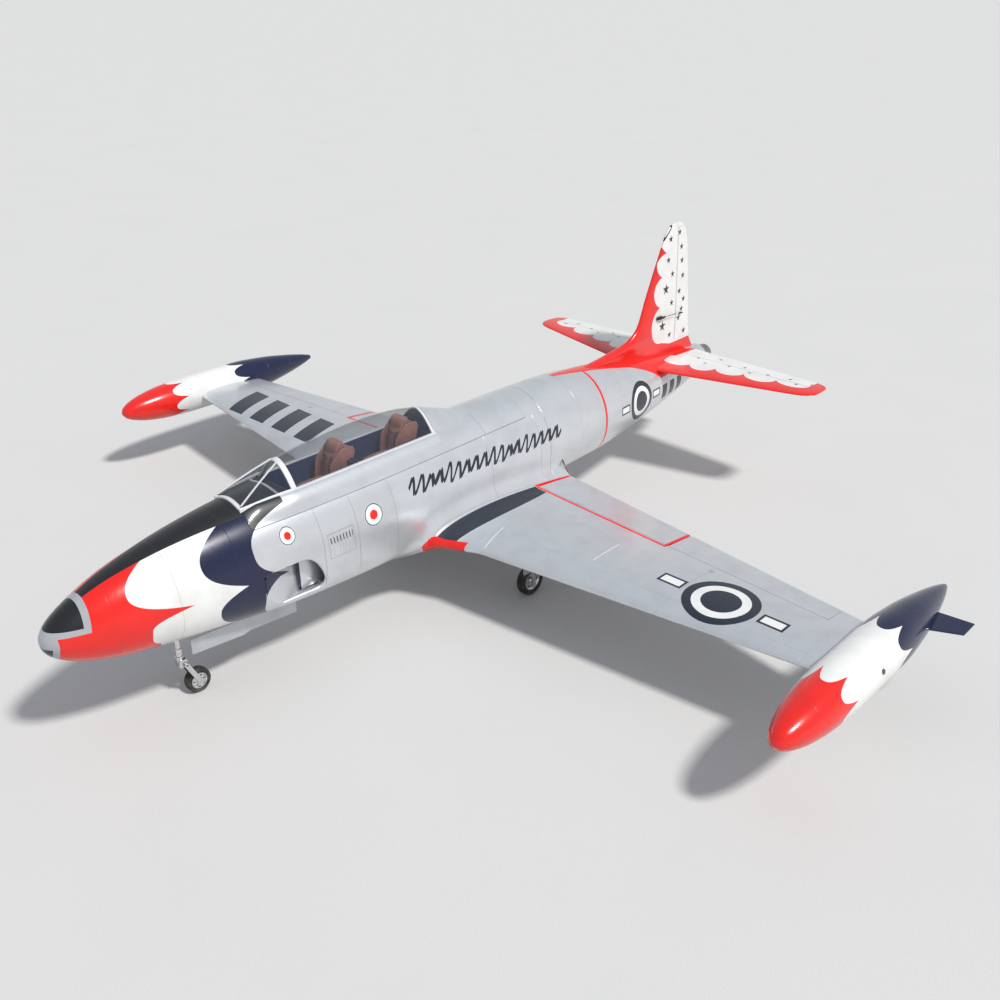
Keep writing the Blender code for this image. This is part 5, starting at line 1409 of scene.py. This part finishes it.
def make_tail():
    levels = [0.345, 0.360, 0.375, 0.385, 0.392, 0.398, 0.404, 0.410, 0.416, 0.422, 0.428, 0.434, 0.440, 0.447,
              0.455, 0.465, 0.475, 0.49, 0.52, 0.552, 0.60, 0.65, 0.711, 0.73, 0.745, 0.754, 0.760, 0.765, 0.768,
              0.7705, 0.773]
    blade = loft([fin_ring(z) for z in levels])
    body = hull(-GAP, 1.45, BODY_END, 0.03)
    piece("fin_skin", blade, "airframe", FIN_PAINT, "red_core", ["fin"], cut=[body, rudder_block(0.0008, 0.0)])
    piece("rudder_skin", blade, "rudder_panel", FIN_PAINT, "white_core", ["rudder"],
          keep=[rudder_block(0.0, math.tan(math.radians(30)))])
    spans = list(np.linspace(TAIL_ROOT_X, 0.48, 8)) + [0.495, 0.508, 0.518, 0.526, 0.532, 0.535, TAIL_TIP_X]
    panel = loft([tail_ring(x) for x in spans])
    shape = loft([tail_ring(x) for x in (0.05, 0.25, 0.48, 0.495, 0.510)])
    wide, hinge = (ELEVATOR_SPAN[0] - 0.0012, ELEVATOR_SPAN[1] + 0.0012), (ELEVATOR_HINGE_Y, 0.0)
    opening = hinge_block(wide, hinge, -0.0012)
    keep = hinge_block(ELEVATOR_SPAN, hinge, 0.0, lambda x: TAIL_Z + 0.006, math.tan(math.radians(23)))
    pair("stabilizer_skin", panel, "airframe", TAIL_PAINT, "red_core", "stabilizer", cut=[body, opening])
    pair("elevator_skin", shape, "{}_elevator", TAIL_PAINT, "white_core", "elevator", keep=[keep])
    arm = merged(block((0.0125, 2.036, 0.4835), (0.0170, 2.062, 0.4935), 0.0010),
                 bar((0.0170, 2.058, 0.4885), (0.0205, 2.058, 0.4885), 0.0030),
                 block((0.0190, 2.0450, 0.4845), (0.0212, 2.0720, 0.4925), 0.0008),
                 bar((0.0200, 2.070, 0.4885), (0.0160, 2.139, 0.4840), 0.0010))
    piece("rudder_servo_arm", arm, "airframe", PLASTIC, "carbon")
    horn = merged(block((0.0040, 2.168, 0.4760), (0.0130, 2.182, 0.4780), 0.0005),
                  bar((0.0120, 2.175, 0.4775), (0.0150, 2.150, 0.4785), 0.0010))
    piece("rudder_horn", horn, "rudder_panel", PLASTIC, "carbon")


def make_pipe():
    wall = 0.002
    profile = [(1.6520, 0.0360), (1.690, PIPE_RADIUS), (PIPE_END - 0.001, PIPE_RADIUS),
               (PIPE_END, PIPE_RADIUS - 0.0005), (PIPE_END, PIPE_RADIUS - wall + 0.0005),
               (PIPE_END - 0.001, PIPE_RADIUS - wall), (1.690, PIPE_RADIUS - wall), (1.6520, 0.0340)]
    points, faces = lathe(profile, (0, 0, 0), "Y", 56)
    centre = [(1.652, 0.285), (2.20, 0.2950), (PIPE_END, 0.2970)]
    points[:, 2] += [fair(centre, y) for y in points[:, 1]]
    piece("exhaust_pipe_tube", (points, faces), "airframe", PIPE_METAL, "hot_metal", ["exhaust_pipe"])


# -------------------------------------------------------------------------------------------------- gear

def tyre_shape(centre, radius, width, rim):
    """A tyre with rounded shoulders and three grooves round its tread."""
    w = width / 2
    profile = [(-w * 0.74, rim), (-w * 0.92, rim + (radius - rim) * 0.18), (-w, rim + (radius - rim) * 0.45),
               (-w * 0.94, rim + (radius - rim) * 0.70), (-w * 0.78, radius * 0.955), (-w * 0.58, radius * 0.99)]
    for place in (-0.36, 0.0, 0.36):
        profile += [(w * (place - 0.07), radius), (w * (place - 0.04), radius * 0.972),
                    (w * (place + 0.04), radius * 0.972), (w * (place + 0.07), radius)]
    profile += [(-a, r) for a, r in profile[5::-1]]
    return lathe(profile, centre, "X", 64)


def hub_shape(centre, radius, width, bore):
    """A hub with a flange, a dished web and a cap boss; wheel() cuts its lightening holes."""
    rim, w = radius * RIM_SHARE, width / 2 * 0.75
    face = [(w + 0.002, bore), (w + 0.002, radius * 0.20), (w + 0.001, radius * 0.23), (w - 0.002, radius * 0.26),
            (w - 0.003, radius * 0.36), (w - 0.003, rim * 0.80), (w - 0.0012, rim * 0.87), (w, rim * 0.90),
            (w, rim - GAP)]
    return lathe([(-along, r) for along, r in face] + face[::-1], centre, "X", 48)


def wheel(name, centre, size, body, holes=6):
    radius, width = size
    piece(name + "_tyre_rubber", tyre_shape(centre, radius, width, radius * RIM_SHARE), body, TYRE_RUBBER, "tyre",
          [name + "_tyre"], angle=40)
    cuts = []
    for a in 2 * math.pi * np.arange(holes) / holes:
        y, z = centre.y + radius * 0.43 * math.cos(a), centre.z + radius * 0.43 * math.sin(a)
        cuts.append(bar((centre.x - width, y, z), (centre.x + width, y, z), radius * 0.075, 16, 0.01))
    piece(name + "_hub_metal", hub_shape(centre, radius, width, 0.0031), body, GEAR_METAL, "strut",
          [name + "_hub"], cut=[merged(*cuts)])


def sideways(x):
    return Vector((x, 0, 0))


def make_link(name, node, pivot, axle, wheel_half, sides, body):
    """Rounded trailing arm plates beside the wheel, on a pivot pin and an axle with nuts."""
    inner, thick, end = wheel_half + 0.0022, 0.0035, 0.0056
    span = inner + thick
    along = axle - pivot
    length, tilt = math.hypot(along.y, along.z), math.atan2(along.z, along.y)
    spin = np.array(Matrix.Rotation(tilt, 3, "X"))
    outline = [(centre + end * math.cos(a), end * math.sin(a)) for centre, start in ((0.0, 90), (length, -90))
               for a in np.radians(np.linspace(start, start + 180, 13))]
    shapes = []
    for side in sides:
        low, high = sorted((side * inner, side * span))
        points, faces = loft([[(x, c * (1 - (1 - shrink) * 0.1), s * shrink) for c, s in outline]
                              for x, shrink in ((low, 0.92), (low + 0.0005, 1), (high - 0.0005, 1), (high, 0.92))])
        shapes.append((points @ spin.T + np.array(pivot), faces))
    for centre, short, radius in ((pivot, 0.0115, 0.0031), (axle, wheel_half + 0.0015, 0.0029)):
        low, high = (side * (span if side in sides else short) for side in (-1, 1))
        shapes.append(bar(centre + sideways(low), centre + sideways(high), radius, 20))
    for side in sides:
        near, far = (axle + sideways(side * (span + reach)) for reach in (-0.0002, 0.0012))
        shapes.append(bar(near, far, 0.0042, 6))
    piece(name, merged(*shapes), body, GEAR_METAL, "strut", [node])


def axle_of(node):
    low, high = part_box(node)
    return (low + high) / 2 - AHEAD


def make_nose_gear():
    axle = axle_of("nose_hub")
    pivot = Vector((0, 0.284, 0.205))
    link_pivot = Vector((0, 0.290, 0.090))
    low = link_pivot.z + 0.022
    leg = merged(bar((-0.0150, pivot.y, pivot.z), (0.0150, pivot.y, pivot.z), 0.0090, 32),
                 bar((-0.0210, pivot.y, pivot.z), (0.0210, pivot.y, pivot.z), 0.0040, 24),
                 bar((0, pivot.y, pivot.z), (0, pivot.y, low + 0.004), 0.0064, 32, 0.05),
                 bar((0, pivot.y, low + 0.020), (0, pivot.y, low + 0.0002), 0.0076, 32, 0.1))
    piece("nose_leg_strut", leg, "nose_strut", GEAR_METAL, "strut", ["nose_leg"])
    collar = merged(bar((0, pivot.y, low - 0.0143), (0, pivot.y, low - 0.0003), 0.0085, 32),
                    block((-0.0115, pivot.y - 0.007, link_pivot.z - 0.006),
                          (0.0115, link_pivot.y + 0.006, low - 0.008), 0.0015),
                    bar((-0.0125, pivot.y - 0.004, low - 0.008), (0.0125, pivot.y - 0.004, low - 0.008), 0.0022, 6))
    piece("nose_knuckle_fork", collar, "nose_steering", GEAR_METAL, "strut", ["nose_steering_knuckle"])
    make_link("nose_trailing_arm", "nose_link", link_pivot, axle, NOSE_WHEEL[1] / 2, (-1, 1), "nose_arm")
    wheel("nose", axle, NOSE_WHEEL, "nose_wheel")
    make_nose_doors()


NOSE_DOOR_FRONT, NOSE_DOOR_REAR = 0.2935, 0.574
NOSE_DOOR_DEPTH = [(0.2935, 0.040), (0.425, 0.0440), (0.445, 0.0385), (0.574, 0.0405)]


def nose_door_hinge(y):
    return 0.1716 - 0.0700 * (y - NOSE_DOOR_FRONT)


def make_nose_doors():
    places, depths = zip(*NOSE_DOOR_DEPTH)
    outline = [(y, nose_door_hinge(y), float(np.interp(y, places, depths)))
               for y in stations(NOSE_DOOR_FRONT, NOSE_DOOR_REAR, 0.01, (0.425, 0.445))]
    rings = []
    for x, soft in ((0.0451, 0.0006), (0.0455, 0), (0.0465, 0), (0.0469, 0.0006)):
        upper = [(x, y, hinge - 0.0012 - soft) for y, hinge, _ in outline]
        lower = [(x, y, hinge - depth + soft) for y, hinge, depth in outline]
        rings.append(upper + lower[::-1])
    ribs = []
    for y in (0.315, 0.365, 0.415, 0.470, 0.520, 0.560):
        hinge = nose_door_hinge(y)
        ribs.append(block((0.0436, y - 0.0015, hinge - 0.033), (0.0452, y + 0.0015, hinge - 0.006), 0.0004))
    pair("nose_door_panel", loft(rings), "{}_nose_door", DOOR_GREY, "panel", "nose_door")
    pair("nose_door_ribs", merged(*ribs), "{}_nose_door", DOOR_GREY, "panel")


def make_main_gear(side, label):
    axle = axle_of(f"main_wheel_{label}_hub")
    pivot = Vector((side * MAIN_X, MAIN_Y, MAIN_PIVOT_Z))
    link_y, link_z = 1.128, 0.098
    leg = merged(bar((pivot.x, MAIN_Y - 0.0145, pivot.z), (pivot.x, MAIN_Y + 0.0145, pivot.z), 0.0095, 32),
                 bar((pivot.x, MAIN_Y - 0.0215, pivot.z), (pivot.x, MAIN_Y + 0.0215, pivot.z), 0.0040, 24),
                 bar((pivot.x, MAIN_Y, pivot.z), (pivot.x, MAIN_Y, link_z + 0.006), 0.0064, 32, 0.05),
                 bar((pivot.x, MAIN_Y, link_z + 0.030), (pivot.x, MAIN_Y, link_z + 0.007), 0.0078, 32, 0.1),
                 block((pivot.x - 0.0110, link_y - 0.006, link_z - 0.006),
                       (pivot.x + 0.0110, MAIN_Y + 0.006, link_z + 0.008), 0.0015))
    piece("main_leg_strut_" + label, leg, f"{label}_main_strut", GEAR_METAL, "strut", ["main_leg_" + label])
    make_link("main_trailing_arm_" + label, "main_link_" + label, Vector((pivot.x, link_y, link_z)), axle,
              MAIN_WHEEL[1] / 2, (side,), f"{label}_main_arm")
    wheel("main_wheel_" + label, axle, MAIN_WHEEL, f"{label}_main_wheel", 8)
    corner = 0.008
    outline = [(across + corner * math.cos(a), up + corner * math.sin(a))
               for across, up, start in ((0.040, 0.088, 270), (0.040, 0.164, 0), (-0.040, 0.164, 90),
                                         (-0.040, 0.088, 180))
               for a in np.radians(np.linspace(start, start + 90, 7))]
    door = loft([[(MAIN_X + x, MAIN_Y + across * shrink, 0.126 + (up - 0.126) * shrink) for across, up in outline]
                 for x, shrink in ((0.0195, 0.985), (0.0199, 1.0), (0.0211, 1.0), (0.0215, 0.985))])
    stay = block((MAIN_X + 0.0040, MAIN_Y - 0.003, 0.130), (MAIN_X + 0.0198, MAIN_Y + 0.003, 0.136), 0.0008)
    piece("main_door_panel_" + label, on_side(merged(door, stay), side), f"{label}_main_strut", DOOR_GREY,
          "panel", ["main_door_" + label])


LOUVRE_FOOT, LOUVRE_TOP = 0.2725, 0.3185


def make_louvres():
    """A small grille of raised slats on each side, above the intake."""
    slats = []
    for y in 0.632 + 0.0088 * np.arange(7):
        half, top, _, waist, _ = body_lines(y)
        rings = []
        for z in np.linspace(LOUVRE_FOOT, LOUVRE_TOP, 12):
            x = half * math.sqrt(1 - ((z - waist) / (top - waist)) ** 2)
            share = (z - LOUVRE_FOOT) / (LOUVRE_TOP - LOUVRE_FOOT)
            rise = 0.0012 * math.sqrt(max(math.sin(math.pi * share), 0.0)) + 0.0001
            rings.append([(x - 0.001, y - 0.0022, z), (x + rise * 0.3, y - 0.0022, z), (x + rise, y + 0.0010, z),
                          (x + rise, y + 0.0018, z), (x - 0.001, y + 0.0020, z)])
        slats.append(loft(rings))
    pair("louvre_slats", merged(*slats), "airframe", SKIN_PAINT, "skin", angle=20)


def dress_cad():
    """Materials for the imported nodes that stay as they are."""
    looks = {"nose_wheel_well": WELL_RED, "nose_retract_unit": DARK_METAL, "turbine_casing": TURBINE_METAL,
             "turbine_rotor": TURBINE_METAL, "nose_ballast": CAST, "equipment_tray": PLY, "fuel_tank": TANK_PLASTIC,
             "ecu_battery": WRAP, "receiver": PLASTIC, "wing_joiner": CARBON}
    for _, label in SIDES:
        looks |= {"main_retract_" + label: DARK_METAL, "aileron_servo_" + label: PLASTIC,
                  "flap_servo_" + label: PLASTIC}
    for name, paint in looks.items():
        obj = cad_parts[name]
        obj.data.materials.clear()
        obj.data.materials.append(paint)
        soften = obj.modifiers.new("edges", "BEVEL")
        soften.width = 0.0004
        soften.segments = 2
        soften.limit_method = "ANGLE"


# ------------------------------------------------------------------------------------------------- stage

def floor_material():
    paint = Paint("floor", (0.62, 0.61, 0.60), 0.75)
    cloud = paint.noise(2.2, 4.0)
    paint.blend((cloud - 0.4) * 0.3, (0.50, 0.50, 0.50))
    paint.raise_by(paint.noise(220.0, 3.0), 0.0004)
    return paint.finish()


def make_stage():
    bpy.ops.mesh.primitive_plane_add(size=400)
    floor = bpy.context.object
    floor.name = "floor"
    floor.data.materials.append(floor_material())
    data = bpy.data.lights.new("key", "SUN")
    data.energy = 3.1
    data.angle = math.radians(7)
    data.color = (1.0, 0.985, 0.96)
    light = bpy.data.objects.new("key", data)
    light.rotation_mode = "QUATERNION"
    light.rotation_quaternion = Vector((0.749, 0.079, 1.0)).to_track_quat("Z", "Y")
    bpy.context.scene.collection.objects.link(light)
    world = bpy.data.worlds.new("studio")
    world.use_nodes = True
    tree = world.node_tree
    place, parts = tree.nodes.new("ShaderNodeTexCoord"), tree.nodes.new("ShaderNodeSeparateXYZ")
    ramp = tree.nodes.new("ShaderNodeValToRGB")
    ramp.color_ramp.elements[0].color = (1.20, 1.19, 1.18, 1)
    ramp.color_ramp.elements[1].color = (0.60, 0.68, 0.78, 1)
    middle = ramp.color_ramp.elements.new(0.40)
    middle.color = (0.76, 0.80, 0.85, 1)
    tree.links.new(place.outputs["Generated"], parts.inputs[0])
    tree.links.new(parts.outputs[2], ramp.inputs[0])
    tree.links.new(ramp.outputs[0], tree.nodes["Background"].inputs[0])
    tree.nodes["Background"].inputs[1].default_value = 0.62
    bpy.context.scene.world = world
    bpy.context.scene.view_settings.view_transform = "Standard"


def make_camera():
    data = bpy.data.cameras.new("camera")
    data.sensor_width = 36
    data.lens = 37.77
    data.clip_end = 100
    camera = bpy.data.objects.new("camera", data)
    yaw, pitch, roll = math.radians(-43.89), math.radians(-26.98), math.radians(-0.68)
    forward = Vector((math.cos(pitch) * math.sin(yaw), math.cos(pitch) * math.cos(yaw), math.sin(pitch)))
    right = forward.cross(Vector((0, 0, 1))).normalized()
    up = right.cross(forward)
    tilted_right = right * math.cos(roll) + up * math.sin(roll)
    tilted_up = up * math.cos(roll) - right * math.sin(roll)
    camera.matrix_world = Matrix.Translation(Vector((1.870, -0.615, 1.484)) + AHEAD) @ Matrix(
        (tilted_right, tilted_up, -forward)).transposed().to_4x4()
    bpy.context.scene.collection.objects.link(camera)
    bpy.context.scene.camera = camera


make_camera()
make_stage()
make_fuselage()
make_covers()
make_canopy()
make_cockpit()
make_bulkhead()
make_wings()
for main_side, main_label in SIDES:
    make_main_gear(main_side, main_label)
make_tail()
make_pipe()
make_nose_gear()
make_louvres()
dress_cad()
